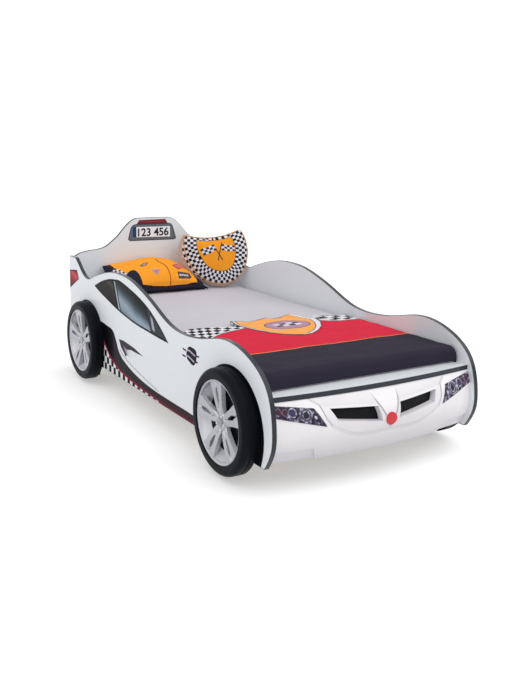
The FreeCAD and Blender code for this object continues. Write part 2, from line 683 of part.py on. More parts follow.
def pillow():
    """Head pillow leaning on the headboard, thick in the middle and sinking towards the right end."""
    body = Part.makeLoft([pillow_section(*section) for section in PILLOW_SECTIONS], True, False)
    bounds = body.optimalBoundingBox(False)
    return placed(body, 0, HEADBOARD_FRONT - SOFT_GAP - bounds.YMax, SLEEP_TOP + SOFT_GAP - bounds.ZMin)


def shield_outline(y):
    """The cushion's outline: dished top edge, full sides, rounded tip."""
    width, top, tip = CUSHION_HALF_WIDTH, CUSHION_TOP, CUSHION_TIP
    right = [V(width, y, top), V(width + CUSHION_BULGE, y, CUSHION_FULLEST * top)]
    for out, down in (CUSHION_FLANK, CUSHION_TURN_IN):
        right.append(V(out * width, y, -down * tip))
    right.append(V(0, y, -tip))
    left = [V(-p.x, p.y, p.z) for p in reversed(right)]
    edges = [arc(left[-1], V(0, y, top - CUSHION_TOP_DIP), right[0])]
    for side in (right, left):
        edges += [arc(*side[0:3]), arc(*side[2:5])]
    return Part.Wire(edges)


def shield_cushion():
    """Shield-shaped cushion with a deep gusset and two crowned faces, standing in the corner."""
    half = CUSHION_THICK / 2
    rise = (CUSHION_THICK - CUSHION_EDGE_THICK) / 2
    dome = (CUSHION_HALF_WIDTH ** 2 + rise ** 2) / (2 * rise)
    body = Part.Face(shield_outline(-half)).extrude(V(0, CUSHION_THICK, 0))
    for side in (-1, 1):
        body = body.common(Part.makeSphere(dome, V(0, side * (half - dome), 0)))
    body.rotate(V(0, 0, 0), V(0, 1, 0), -CUSHION_ROLL)
    body.rotate(V(0, 0, 0), V(1, 0, 0), -CUSHION_LEAN)
    body.rotate(V(0, 0, 0), V(0, 0, 1), -CUSHION_TURN)
    x, y = CUSHION_PLACE
    return placed(body, x, y, SLEEP_TOP + SOFT_GAP - body.optimalBoundingBox(False).ZMin)


def main():
    os.makedirs("parts", exist_ok=True)
    place_screws()

    for name, side in SIDES:
        panel, band = side_panel_and_band(side)
        save(drilled(panel), "side_panel_" + name)
        save(band, "side_edge_band_" + name)
        save(drilled(side_bearer(side)), "side_bearer_" + name)

    board, band = headboard_and_band()
    save(drilled(board), "headboard")
    save(band, "headboard_edge_band")
    save(drilled(front_board()), "front_board")
    shelf, band = shelf_and_band()
    save(shelf, "front_shelf")
    save(band, "front_shelf_edge_band")
    for name, piece in bumper_group().items():
        save(piece, name)

    tyre_form, rim_form, cap_form, lugs_form = tyre(), rim(), hub_cap(), lug_bolts()
    lugs = []
    for name, side, axle in WHEELS:
        save(drilled(at_wheel(tyre_form, side, axle)), "tyre_" + name)
        save(at_wheel(rim_form, side, axle), "rim_" + name)
        save(at_wheel(cap_form, side, axle), "hub_cap_" + name)
        lugs += at_wheel(lugs_form, side, axle).Solids
    save(Part.makeCompound(lugs), "wheel_lug_bolts")

    save(drilled(head_bearer()), "head_bearer")
    save(drilled(foot_bearer()), "foot_bearer")
    save(centre_beam(), "centre_beam")
    hangers = [beam_hanger(face + inward * BEARER_THICK, inward) for face, inward in END_FACES]
    save(Part.makeCompound(hangers), "beam_hangers")
    for number, middle in enumerate(slat_middles(), start=1):
        save(drilled(slat(middle)), "slat_%02d" % number)

    glides = []
    for name, side in SIDES:
        for end, y in foot_stations():
            save(drilled(foot_post(side, y)), "foot_%s_%s" % (end, name))
            glides.append(glide(side * (X_IN - FOOT_SIDE / 2), y))
    for end, y in zip(("front", "rear"), BEAM_LEG_STATIONS):
        save(beam_leg(y), "beam_leg_" + end)
        glides.append(glide(0, y))
    save(Part.makeCompound(glides), "floor_glides")
    brackets = [corner_bracket(side, face, inward) for _, side in SIDES
                for face, inward in END_FACES]
    save(Part.makeCompound([drilled(bracket) for bracket in brackets]), "corner_brackets")

    save(Part.makeCompound(wheel_screws.solids), "wheel_screws")
    save(Part.makeCompound(wood_screws.solids), "wood_screws")
    save(Part.makeCompound(small_screws.solids), "small_screws")

    save(mattress(), "mattress")
    save(coverlet(), "coverlet")
    save(pillow(), "pillow")
    save(shield_cushion(), "shield_cushion")


main()
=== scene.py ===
"""A child's bed in the shape of a racing car: printed boards, moulded bumper, wheels and bedding."""
import math

import bmesh
import bpy
import numpy as np
from bpy.props import FloatProperty, FloatVectorProperty, IntProperty, PointerProperty
from bpy.types import Operator, Panel, PropertyGroup
from mathutils import Matrix, Vector, geometry, noise
from mathutils.bvhtree import BVHTree


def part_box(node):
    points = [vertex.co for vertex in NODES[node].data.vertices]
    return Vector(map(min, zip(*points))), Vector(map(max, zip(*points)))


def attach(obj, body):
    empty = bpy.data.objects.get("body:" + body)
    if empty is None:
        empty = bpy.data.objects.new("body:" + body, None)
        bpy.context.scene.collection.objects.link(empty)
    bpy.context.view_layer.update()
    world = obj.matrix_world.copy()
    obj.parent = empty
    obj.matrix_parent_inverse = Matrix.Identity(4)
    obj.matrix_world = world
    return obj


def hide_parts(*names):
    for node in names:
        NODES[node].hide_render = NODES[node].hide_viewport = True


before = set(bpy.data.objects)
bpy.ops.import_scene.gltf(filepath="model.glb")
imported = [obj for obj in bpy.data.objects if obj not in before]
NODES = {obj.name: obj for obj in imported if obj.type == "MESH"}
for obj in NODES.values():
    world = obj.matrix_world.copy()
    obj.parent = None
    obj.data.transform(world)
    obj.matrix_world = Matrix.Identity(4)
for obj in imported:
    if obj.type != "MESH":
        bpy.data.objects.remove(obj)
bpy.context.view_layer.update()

bl_info = {
    "name": "Racing Car Bed",
    "version": (1, 0, 0),
    "blender": (4, 5, 0),
    "location": "View3D > Sidebar > Car Bed",
    "description": "Prints, wheels and bedding of a child's car bed",
    "category": "Add Mesh",
}

MM = 0.001
PANEL_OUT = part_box("side_panel_right")[1][0]
PANEL_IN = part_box("side_panel_right")[0][0]
PANEL_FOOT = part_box("side_panel_right")[0][2]
HEADBOARD_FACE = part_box("headboard")[0][1]
MATTRESS_LOW, MATTRESS_HIGH = (Vector(corner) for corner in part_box("mattress"))
COVERLET_LOW, COVERLET_HIGH = (Vector(corner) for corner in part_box("coverlet"))
PILLOW_LOW, PILLOW_HIGH = (Vector(corner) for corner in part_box("pillow"))
CUSHION_LOW, CUSHION_HIGH = (Vector(corner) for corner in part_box("shield_cushion"))
SIDES = (("left", -1), ("right", 1))


# ---- sizes and colours that a user would change ----
def screen(red, green, blue):
    """The linear colour of the 0-255 values that a screen shows."""
    shares = (value / 255 for value in (red, green, blue))
    return tuple(s / 12.92 if s <= 0.04045 else ((s + 0.055) / 1.055) ** 2.4 for s in shares)


def tint(name, description, red, green, blue):
    return FloatVectorProperty(name=name, description=description, default=screen(red, green, blue),
                               subtype="COLOR", size=3, min=0, max=1)


def length(name, description, default):
    return FloatProperty(name=name, description=description, default=default, unit="LENGTH",
                         subtype="DISTANCE", min=0)


class CarBedColours(PropertyGroup):
    """Colours of the boards, mouldings and cloths."""
    board: tint("Board film", "White film on the boards", 227, 231, 236)
    edging: tint("Edging", "Plastic strip on the boards' edges", 36, 42, 50)
    bumper: tint("Bumper", "Gloss moulding of the bumper", 236, 233, 236)
    tyre: tint("Tyre", "Satin moulding of the tyres", 14, 17, 24)
    rim: tint("Rim", "Silver coat of the rims", 218, 218, 224)
    pine: tint("Pine", "Bare planed timber", 214, 184, 140)
    birch: tint("Birch", "Bare slats", 222, 203, 170)
    sheet: tint("Fitted sheet", "Grey cotton on the mattress", 193, 190, 198)
    red: tint("Coverlet red", "Red field of the coverlet", 214, 42, 68)
    charcoal: tint("Coverlet charcoal", "Foot end of the coverlet", 48, 44, 58)
    orange: tint("Orange", "Badge, pillow and cushion", 250, 160, 38)
    navy: tint("Navy", "Ends and front band of the pillow", 26, 22, 40)
    gusset: tint("Gusset", "Side strip of the cushion", 196, 172, 162)


class CarBedPrints(PropertyGroup):
    """Sizes of the printed film on the boards."""
    thickness: length("Film", "Thickness of the printed film", 0.3 * MM)
    lift: length("Lift", "Gap between film and board", 0.05 * MM)
    frame_width: length("Window frame", "Width of the dark line round the window", 9 * MM)
    checker: length("Checks", "Height of a check on the sill", 33 * MM)


class CarBedBedding(PropertyGroup):
    """Sizes of the mattress, coverlet, pillow and cushion."""
    coverlet_thickness: length("Coverlet", "Thickness of the quilted cover", 9 * MM)
    coverlet_checker: length("Coverlet checks", "Side of a check on the cover", 34 * MM)
    cushion_checker: length("Cushion checks", "Side of a check on the cushion's border", 17 * MM)
    cushion_rows: IntProperty(name="Rows", description="Rows of checks on the cushion's border",
                              default=4, min=1, max=6)
    piping: length("Piping", "Radius of the cushion's piping", 2.6 * MM)
    voxel: length("Cloth", "Spacing of the simulated cloth's points", 5 * MM)
    pressure: FloatProperty(name="Filling", description="Pressure of the filling", default=4.0, min=0)


class CarBedStage(PropertyGroup):
    """Light and background."""
    world_light: FloatProperty(name="World", description="Even light from all round", default=0.65, min=0)
    key_light: FloatProperty(name="Key", description="Soft light from above the front", default=1.25, min=0)
    fill_light: FloatProperty(name="Fill", description="Light without shadow on the near side",
                              default=0.62, min=0)
    floor: tint("Floor", "Pale floor", 235, 235, 235)
    floor_lift: FloatProperty(name="Floor lift", description="Light added where the camera sees the floor",
                              default=0.36, min=0)


# ---- materials ----
class Graph:
    """A node tree whose nodes are made and fed in one go."""
    prefix = ""

    def __init__(self, tree):
        self.nodes, self.links = tree.nodes, tree.links

    def feed(self, socket, value):
        if isinstance(value, bpy.types.NodeSocket):
            self.links.new(value, socket)
        elif socket.type == "RGBA" and len(value) == 3:
            socket.default_value = (*value, 1)
        else:
            socket.default_value = value

    def node(self, kind, inputs=(), output=0, **settings):
        made = self.nodes.new(self.prefix + kind)
        for name, value in settings.items():
            setattr(made, name, value)
        for socket, value in (inputs.items() if isinstance(inputs, dict) else enumerate(inputs)):
            self.feed(made.inputs[socket], value)
        return made.outputs[output]


class Shading(Graph):
    """A graph of shader nodes."""
    prefix = "ShaderNode"

    def math(self, operation, *values):
        return self.node("Math", values, operation=operation)

    def span(self, value, low, high, to_low=0.0, to_high=1.0):
        return self.node("MapRange", (value, low, high, to_low, to_high))

    def seen(self):
        """1 for the rays of the camera itself and for those that mirrors and glass send on."""
        path = self.node("LightPath").node.outputs
        direct = self.math("MAXIMUM", path["Is Camera Ray"], path["Is Glossy Ray"])
        return self.math("MAXIMUM", direct, path["Is Transmission Ray"])


class Finish(Shading):
    """A procedural material, built up from its shader."""

    def __init__(self, name, colour, roughness=0.5, **shader):
        self.material = bpy.data.materials.new(name)
        self.material.use_nodes = True
        self.material.diffuse_color = (*colour, 1)
        super().__init__(self.material.node_tree)
        self.shader = self.nodes["Principled BSDF"]
        self.colour = tuple(colour)
        self.paint(self.colour)
        self.feed(self.shader.inputs["Roughness"], roughness)
        for socket, value in shader.items():
            self.feed(self.shader.inputs[socket.replace("_", " ")], value)
        self.place = self.node("TexCoord", output="Object")

    def axes(self, vector=None):
        parted = self.node("SeparateXYZ", (vector or self.place,)).node
        return tuple(parted.outputs)

    def joined(self, x, y, z=0.5):
        return self.node("CombineXYZ", (x, y, z))

    def local(self, matrix):
        """Object coordinates turned back by a piece's own place."""
        turn = matrix.to_euler("XYZ")
        return self.node("Mapping", {"Vector": self.place, "Location": matrix.translation,
                                     "Rotation": turn}, vector_type="TEXTURE")

    def noise(self, scale, detail=3.0, roughness=0.5, vector=None, distortion=0.0):
        return self.node("TexNoise", {"Vector": vector or self.place, "Scale": scale, "Detail": detail,
                                      "Roughness": roughness, "Distortion": distortion})

    def mix(self, share, first, second, blend="MIX"):
        return self.node("Mix", {0: share, 6: first, 7: second}, 2, data_type="RGBA", blend_type=blend)

    def ramp(self, share, stops):
        made = self.node("ValToRGB", (share,)).node
        elements = made.color_ramp.elements
        for element, (position, colour) in zip(elements, (stops[0], stops[-1])):
            element.position, element.color = position, (*colour, 1)
        for position, colour in stops[1:-1]:
            elements.new(position).color = (*colour, 1)
        return made.outputs[0]

    def graded(self, share, *stops):
        """A ramp of colours given as the values that a screen shows."""
        return self.ramp(share, [(position, screen(*shown)) for position, *shown in stops])

    def graph(self, value, points):
        """A function of value that runs straight from point to point, both in metres."""
        xs, ys = zip(*points)
        low, high = min(ys), max(ys)
        share = self.span(value, xs[0], xs[-1])
        made = self.node("FloatCurve", (1.0, share)).node
        line = made.mapping.curves[0]
        for x, y in points[1:-1]:
            line.points.new((x - xs[0]) / (xs[-1] - xs[0]), (y - low) / (high - low))
        for point in line.points:
            point.handle_type = "VECTOR"
        line.points[0].location = (0, (ys[0] - low) / (high - low))
        line.points[len(line.points) - 1].location = (1, (ys[-1] - low) / (high - low))
        made.mapping.update()
        return self.span(made.outputs[0], 0.0, 1.0, low, high)

    def checks(self, across, along, size, dark, light):
        return self.node("TexChecker", {"Vector": self.joined(across, along), "Color1": dark, "Color2": light,
                                        "Scale": 1 / size})

    def above(self, value, level):
        return self.math("GREATER_THAN", value, level)

    def paint(self, value):
        self.feed(self.shader.inputs["Base Color"], value)

    def gloss(self, value):
        self.feed(self.shader.inputs["Roughness"], value)

    def bump(self, height, distance, strength=1.0):
        inputs = {"Height": height, "Distance": distance, "Strength": strength}
        before = self.shader.inputs["Normal"]
        if before.is_linked:
            inputs["Normal"] = before.links[0].from_socket
        self.feed(before, self.node("Bump", inputs))


def board_film(colour):
    """Satin film pressed on board: nearly even, with a faint grain in its gloss."""
    film = Finish("white board film", colour, 0.42, Coat_Weight=0.12, Coat_Roughness=0.25)
    cloud = film.noise(2.2, 2.0)
    fine = film.noise(900.0, 2.0)
    film.paint(film.mix(film.span(cloud, 0.35, 0.65, 0.0, 0.35), colour, tuple(c * 0.93 for c in colour)))
    film.gloss(film.span(fine, 0.3, 0.7, 0.38, 0.48))
    film.bump(fine, 0.00004, 0.5)
    return film


def printed(name, colour, drift=0.1, roughness=0.4):
    """Ink on the boards' film, slightly mottled."""
    ink = Finish(name, colour, roughness, Specular_IOR_Level=0.03)
    cloud = ink.noise(14.0, 4.0, 0.6)
    ink.paint(ink.mix(ink.span(cloud, 0.3, 0.7, 0.0, drift * 4), colour,
                      tuple(c * (1 - 1.6 * drift) for c in colour)))
    ink.gloss(ink.span(ink.noise(700.0), 0.3, 0.7, roughness - 0.04, roughness + 0.05))
    return ink


def moulding(name, colour, roughness, grain=0.00006, scale=260.0, **shader):
    """Moulded plastic with a faint skin and scuffs in its gloss."""
    plastic = Finish(name, colour, roughness, **shader)
    skin = plastic.noise(scale, 2.0)
    scuffs = plastic.noise(9.0, 5.0, 0.65)
    plastic.paint(plastic.mix(plastic.span(scuffs, 0.4, 0.75, 0.0, 0.3), colour,
                              tuple(c * 0.88 for c in colour)))
    plastic.gloss(plastic.span(scuffs, 0.3, 0.8, roughness * 0.9, roughness * 1.25))
    plastic.bump(skin, grain, 0.6)
    return plastic


def timber(name, colour, along):
    """Bare timber with growth rings drawn out along one axis (0, 1 or 2)."""
    wood = Finish(name, colour, 0.6)
    stretch = [22.0, 22.0, 22.0]
    stretch[along] = 1.2
    grain_place = wood.node("Mapping", {"Vector": wood.place, "Scale": stretch}, vector_type="POINT")
    rings = wood.noise(2.0, 4.0, 0.55, grain_place, 1.4)
    pores = wood.noise(14.0, 2.0, 0.5, grain_place)
    dark = tuple(c * 0.62 for c in colour)
    pale = tuple(min(1, c * 1.08) for c in colour)
    wood.paint(wood.ramp(rings, [(0.32, dark), (0.5, colour), (0.62, pale)]))
    wood.gloss(wood.span(pores, 0.3, 0.7, 0.5, 0.68))
    wood.bump(pores, 0.0002, 0.6)
    return wood


def woven(cloth, pitch=0.0011, depth=0.00016, vector=None):
    """Gives a cloth its over-and-under weave."""
    x, y, z = cloth.axes(vector)
    turn = 2 * math.pi / pitch
    warp = cloth.math("SINE", cloth.math("MULTIPLY", cloth.math("ADD", x, z), turn))
    weft = cloth.math("SINE", cloth.math("MULTIPLY", cloth.math("SUBTRACT", y, z), turn))
    cloth.bump(cloth.math("MULTIPLY", warp, weft), depth, 0.5)
    cloth.bump(cloth.noise(60.0, 3.0, 0.6, vector), 0.0009, 0.35)


def cotton(name, colour, scale=40.0, dark=0.86, roughness=0.75, **shader):
    """Sewn-on cotton, slightly mottled."""
    cloth = Finish(name, colour, roughness, **shader)
    cloth.paint(cloth.mix(cloth.span(cloth.noise(scale), 0.3, 0.7), colour, tuple(c * dark for c in colour)))
    woven(cloth)
    return cloth


def shaded(cloth, paint, scale, share, low):
    """Paints the cloth, with soft darker places."""
    cloud = cloth.noise(scale, 3.0, 0.6)
    dapple = cloth.ramp(cloud, [(0.3, (low, low, low)), (0.7, (1, 1, 1))])
    cloth.paint(cloth.mix(share, paint, dapple, "MULTIPLY"))


def dress(names, finish):
    """Gives the bed's own parts a finish."""
    for name in names:
        piece = NODES[name]
        if not piece.material_slots:
            piece.data.materials.append(finish.material)
        for slot in piece.material_slots:
            slot.material = finish.material


# ---- outlines, drawn flat and in millimetres ----
def flowing(points, steps=6):
    """A smooth open line through the points."""
    ends = [points[0], *points, points[-1]]
    line = []
    for a, b, c, d in zip(ends, ends[1:], ends[2:], ends[3:]):
        for step in range(steps):
            t = step / steps
            line.append(tuple(0.5 * (2 * q + (r - p) * t + (2 * p - 5 * q + 4 * r - s) * t ** 2
                                     + (3 * q - p - 3 * r + s) * t ** 3) for p, q, r, s in zip(a, b, c, d)))
    return line + [tuple(points[-1])]


def arc(start, middle, end, steps=12):
    """Points of the circular arc through three points."""
    (ax, ay), (bx, by), (cx, cy) = start, middle, end
    d = 2 * (ax * (by - cy) + bx * (cy - ay) + cx * (ay - by))
    a_far, b_far, c_far = ax * ax + ay * ay, bx * bx + by * by, cx * cx + cy * cy
    ux = (a_far * (by - cy) + b_far * (cy - ay) + c_far * (ay - by)) / d
    uy = (a_far * (cx - bx) + b_far * (ax - cx) + c_far * (bx - ax)) / d
    radius = math.hypot(ax - ux, ay - uy)
    first, via, last = (math.atan2(y - uy, x - ux) for x, y in (start, middle, end))
    sweep = (last - first) % (2 * math.pi)
    if (via - first) % (2 * math.pi) > sweep:
        sweep -= 2 * math.pi
    angles = (first + sweep * step / steps for step in range(steps + 1))
    return [(ux + radius * math.cos(angle), uy + radius * math.sin(angle)) for angle in angles]


def disc(x, y, radius, squash=1.0, steps=40):
    angles = (2 * math.pi * i / steps for i in range(steps))
    return [(x + radius * math.cos(angle), y + squash * radius * math.sin(angle)) for angle in angles]


def checkered(columns, rows, point, light, dark):
    """Layers of a checker whose corners are point(column, row), dark at the first corner."""
    layers = []
    for row in range(rows):
        for column in range(columns):
            corners = [(column, row), (column + 1, row), (column + 1, row + 1), (column, row + 1)]
            layers.append(([tuple(point(i, j)) for i, j in corners], light if (row + column) % 2 else dark))
    return layers


def wound(outline):
    """The outline's points in anticlockwise order."""
    twice_area = sum(a[0] * b[1] - b[0] * a[1] for a, b in zip(outline, outline[1:] + outline[:1]))
    return list(outline) if twice_area > 0 else list(reversed(outline))


SHARPEST = 0.45        # keeps the inset of a sharp corner from running away


def inset(outline, distance):
    """The closed outline moved inwards."""
    outline = [Vector(point) for point in wound(outline)]
    moved = []
    for i, here in enumerate(outline):
        into = (here - outline[i - 1]).normalized()
        out = (outline[(i + 1) % len(outline)] - here).normalized()
        first, second = Vector((-into.y, into.x)), Vector((-out.y, out.x))
        middle = (first + second).normalized()
        moved.append(here + middle * distance / max(SHARPEST, middle.dot(first)))
    edges = list(zip(outline, outline[1:] + outline[:1]))
    return [tuple(point) for point in moved
            if min(away_from_edge(point, a, b) for a, b in edges) > 0.6 * distance]


def away_from_edge(point, start, end):
    nearest, share = geometry.intersect_point_line(point, start, end)
    return (point - (start if share < 0 else end if share > 1 else Vector(nearest[:2]))).length


def kept_left(outline, start, end):
    """The part of a closed outline to the left of the line from start to end."""
    def side(point):
        return (end[0] - start[0]) * (point[1] - start[1]) - (end[1] - start[1]) * (point[0] - start[0])
    kept = []
    for a, b in zip(outline, outline[1:] + outline[:1]):
        here, there = side(a), side(b)
        if here >= 0:
            kept.append(a)
        if here * there < 0:
            share = here / (here - there)
            kept.append((a[0] + (b[0] - a[0]) * share, a[1] + (b[1] - a[1]) * share))
    return kept


def strip_across(outline, top, bottom, half):
    """The part of a closed outline within half of the line from top to bottom, which falls forwards."""
    kept = kept_left(outline, (top[0] - half, top[1]), (bottom[0] - half, bottom[1]))
    return kept_left(kept, (bottom[0] + half, bottom[1]), (top[0] + half, top[1]))


def ribbon(points, start_width, end_width=None):
    """The outline of a line of some width."""
    end_width = start_width if end_width is None else end_width
    left, right = [], []
    for i, point in enumerate(points):
        before, after = Vector(points[max(i - 1, 0)]), Vector(points[min(i + 1, len(points) - 1)])
        along = (after - before).normalized()
        half = (start_width + (end_width - start_width) * i / (len(points) - 1)) / 2
        across = Vector((-along.y, along.x)) * half
        left.append(tuple(Vector(point) + across))
        right.append(tuple(Vector(point) - across))
    return left + right[::-1]


# ---- pieces ----
def added(name, data):
    """A new object in the scene."""
    made = bpy.data.objects.new(name, data)
    bpy.context.scene.collection.objects.link(made)
    return made


def new_piece(name, points, faces, finishes, choices=None, smooth=True):
    """A mesh piece; choices gives each face the number of its finish."""
    mesh = bpy.data.meshes.new(name)
    mesh.from_pydata([tuple(point) for point in points], [], faces)
    for finish in finishes:
        mesh.materials.append(finish.material)
    if choices:
        mesh.polygons.foreach_set("material_index", choices)
    mesh.polygons.foreach_set("use_smooth", [smooth] * len(mesh.polygons))
    mesh.update()
    return added(name, mesh)


def faced_outwards(piece):
    shape = bmesh.new()
    shape.from_mesh(piece.data)
    bmesh.ops.recalc_face_normals(shape, faces=shape.faces)
    shape.to_mesh(piece.data)
    shape.free()
    return piece


def settled(piece, body, replaces=()):
    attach(piece, body)
    if replaces:
        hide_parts(*replaces)
    return piece


def film(name, layers, place, thickness, lift=0.0, infill=0.0):
    """A closed thin film of flat regions, each layer printed over the ones before it.

    A layer is (outline, finish), and place turns a flat point and a height above the base into
    a point of the bed. infill is the spacing of extra points where the base is curved."""
    flat, loops = [], []
    for outline, _ in layers:
        loops.append(list(range(len(flat), len(flat) + len(outline))))
        flat += [Vector(point) for point in wound(outline)]
    if infill:
        lows = [min(p[i] for p in flat) for i in (0, 1)]
        highs = [max(p[i] for p in flat) for i in (0, 1)]
        flat += [Vector((u, v)) for u in np.arange(lows[0], highs[0], infill)
                 for v in np.arange(lows[1], highs[1], infill)]
    flat, _, triangles, _, _, sources = geometry.delaunay_2d_cdt(flat, [], loops, 1, 1e-4)
    finishes = []
    for _, finish in layers:
        if finish not in finishes:
            finishes.append(finish)
    faces, choices, rims = [], [], {}
    count = len(flat)
    for triangle, source in zip(triangles, sources):
        if not source:
            continue
        choice = finishes.index(layers[max(source)][1])
        faces += [tuple(triangle), tuple(i + count for i in reversed(triangle))]
        choices += [choice, choice]
        for a, b in zip(triangle, triangle[1:] + triangle[:1]):
            if rims.pop((b, a), None) is None:
                rims[(a, b)] = choice
    for (a, b), choice in rims.items():
        faces.append((b, a, a + count, b + count))
        choices.append(choice)
    points = [place(u, v, lift + thickness) for u, v in flat] + [place(u, v, lift) for u, v in flat]
    piece = new_piece(name, points, faces, finishes, choices, smooth=False)
    shape = bmesh.new()
    shape.from_mesh(piece.data)
    bmesh.ops.delete(shape, geom=[vert for vert in shape.verts if not vert.link_faces], context="VERTS")
    shape.to_mesh(piece.data)
    shape.free()
    return faced_outwards(piece)


def evaluated_mesh(piece):
    depsgraph = bpy.context.evaluated_depsgraph_get()
    return bpy.data.meshes.new_from_object(piece.evaluated_get(depsgraph), depsgraph=depsgraph)


def made_plain(piece):
    """Turns what the piece's modifiers give into its plain mesh."""
    mesh = evaluated_mesh(piece)
    piece.modifiers.clear()
    piece.data = mesh
    return piece


def stuffed(piece, voxel, pressure, slack, reach):
    """Fills the piece: even cloth, drawn in by slack, then blown up by pressure; no point of it moves
    further than reach."""
    remesh = piece.modifiers.new("even cloth", "REMESH")
    remesh.mode = "VOXEL"
    remesh.voxel_size = voxel
    remesh.use_smooth_shade = True
    made_plain(piece)
    for vertex in piece.data.vertices:
        vertex.co -= vertex.normal * slack
    cloth = piece.modifiers.new("filling", "CLOTH")
    cloth.settings.use_pressure = True
    cloth.settings.uniform_pressure_force = pressure
    cloth.settings.effector_weights.gravity = 0
    cloth.collision_settings.use_collision = False
    for number in range(1, 21):
        bpy.context.scene.frame_set(number)
    blown = evaluated_mesh(piece)
    piece.modifiers.clear()
    bpy.context.scene.frame_set(1)
    start = np.empty(len(piece.data.vertices) * 3)
    piece.data.vertices.foreach_get("co", start)
    moved = np.empty_like(start)
    blown.vertices.foreach_get("co", moved)
    step = (moved - start).reshape(-1, 3)
    far = np.linalg.norm(step, axis=1, keepdims=True)
    step *= np.minimum(1.0, reach / np.maximum(far, 1e-9))
    piece.data.vertices.foreach_set("co", (start.reshape(-1, 3) + step).ravel())
    bpy.data.meshes.remove(blown)
    finer = piece.modifiers.new("finer", "SUBSURF")
    finer.levels = finer.render_levels = 1
    return made_plain(piece)


def like_node(name, node, finish):
    """A piece that starts as a copy of a node's solid."""
    mesh = NODES[node].data.copy()
    mesh.transform(NODES[node].matrix_world)
    mesh.materials.clear()
    mesh.materials.append(finish.material)
    return added(name, mesh)


def smoothed(piece):
    piece.data.polygons.foreach_set("use_smooth", [True] * len(piece.data.polygons))


def moved_points(piece, move):
    """Moves every point of the piece by a function of its place."""
    for vertex in piece.data.vertices:
        vertex.co = move(vertex.co)
    piece.data.update()


def spread(points):
    """The lowest and highest x, y and z of the points."""
    return (Vector(min(point[i] for point in points) for i in range(3)),
            Vector(max(point[i] for point in points) for i in range(3)))


def stretched(piece, place, low, high):
    """Brings the piece back to its width and height before the filling, both measured in its own place."""
    back = place.inverted()
    now_low, now_high = spread([back @ vertex.co for vertex in piece.data.vertices])

    def fitted(co):
        flat = back @ co
        for axis in (0, 2):
            share = (flat[axis] - now_low[axis]) / (now_high[axis] - now_low[axis])
            flat[axis] = low[axis] + share * (high[axis] - low[axis])
        return place @ flat

    moved_points(piece, fitted)


def ground(piece):
    return BVHTree.FromPolygons([v.co for v in piece.data.vertices],
                                [tuple(p.vertices) for p in piece.data.polygons])


# ---- geometry node trees ----
class NodeShape(Graph):
    """A geometry node tree on a helper object, baked to a plain piece."""

    def __init__(self, name, source):
        self.tree = bpy.data.node_groups.new(name, "GeometryNodeTree")
        for way in ("INPUT", "OUTPUT"):
            self.tree.interface.new_socket("Geometry", in_out=way, socket_type="NodeSocketGeometry")
        super().__init__(self.tree)
        self.inside = self.nodes.new("NodeGroupInput")
        self.source = source
        self.values = {}

    def size(self, name, kind, value):
        """A named input of the tree, set by its identifier before the tree runs."""
        socket = self.tree.interface.new_socket(name, in_out="INPUT", socket_type="NodeSocket" + kind)
        self.values[socket.identifier] = value
        return self.inside.outputs[name]

    def baked(self, name, result, finish):
        real = self.node("GeometryNodeRealizeInstances", (result,))
        painted = self.node("GeometryNodeSetMaterial", {"Geometry": real, "Material": finish.material})
        self.links.new(painted, self.nodes.new("NodeGroupOutput").inputs[0])
        modifier = self.source.modifiers.new(self.tree.name, "NODES")
        modifier.node_group = self.tree
        for identifier, value in self.values.items():
            modifier[identifier] = value
        mesh = evaluated_mesh(self.source)
        mesh.name = name
        bpy.data.objects.remove(self.source)
        if not mesh.materials:
            mesh.materials.append(finish.material)
        mesh.polygons.foreach_set("use_smooth", [True] * len(mesh.polygons))
        return faced_outwards(added(name, mesh))


def path_object(points, closed):
    curve = bpy.data.curves.new("path", "CURVE")
    curve.dimensions = "3D"
    spline = curve.splines.new("POLY")
    spline.points.add(len(points) - 1)
    spline.points.foreach_set("co", [value for point in points for value in (*point, 1.0)])
    spline.use_cyclic_u = closed
    return added("path", curve)


def cord_trim(name, points, radius, finish, closed=True):
    """A round trim, such as piping, along a path."""
    shape = NodeShape("round trim", path_object(points, closed))
    thick = shape.size("Radius", "Float", radius)
    section = shape.node("GeometryNodeCurvePrimitiveCircle", {"Resolution": 8, "Radius": thick})
    tube = shape.node("GeometryNodeCurveToMesh", {"Curve": shape.inside.outputs[0], "Profile Curve": section,
                                                 "Fill Caps": not closed})
    return shape.baked(name, tube, finish)


# ---- the printed sides ----
WINDOW_TOP = [(670, 506), (593, 536), (526, 556), (460, 570), (397, 577), (335, 579), (218, 559),
              (106, 534), (0, 498), (-102, 445), (-184, 391)]
WINDOW_BOTTOM = [(-184, 391), (-101, 393), (1, 398), (164, 407), (340, 430), (465, 455), (596, 485),
                 (670, 506)]
PILLAR = [(423, 570), (398, 512), (364, 440)]
DIVIDER = [(42, 505), (12, 450), (-20, 390)]
SILL_EDGE = [(600, 340), (520, 334), (438, 324), (395, 284), (365, 241), (323, 212), (263, 192),
             (193, 175), (114, 162), (37, 154), (-47, 149), (-148, 147), (-245, 146), (-337, 146),
             (-417, 144), (-520, 144)]
TRIM_LINE = [(346, 250), (322, 234), (292, 224), (239, 210), (170, 195), (91, 182), (26, 171), (-47, 162),
             (-88, 155)]
RED_LINE = [(560, 245), (525, 219), (490, 195), (450, 173), (387, 153), (325, 140), (229, 129),
            (115, 121), (6, 117), (-98, 113.5), (-197, 111.5), (-310, 110.5), (-420, 110)]
INTAKE_TOP = [(357, 297), (296, 300), (179, 292), (78, 275), (134, 274), (214, 274), (267, 265), (302, 279)]
INTAKE_SIDE = [(357, 297), (333, 263), (274, 228), (262, 243), (297, 261), (314, 286)]
INTAKE_INSIDE = [(314, 286), (262, 270), (214, 275), (134, 276), (160, 256), (196, 240), (262, 236),
                 (297, 261)]
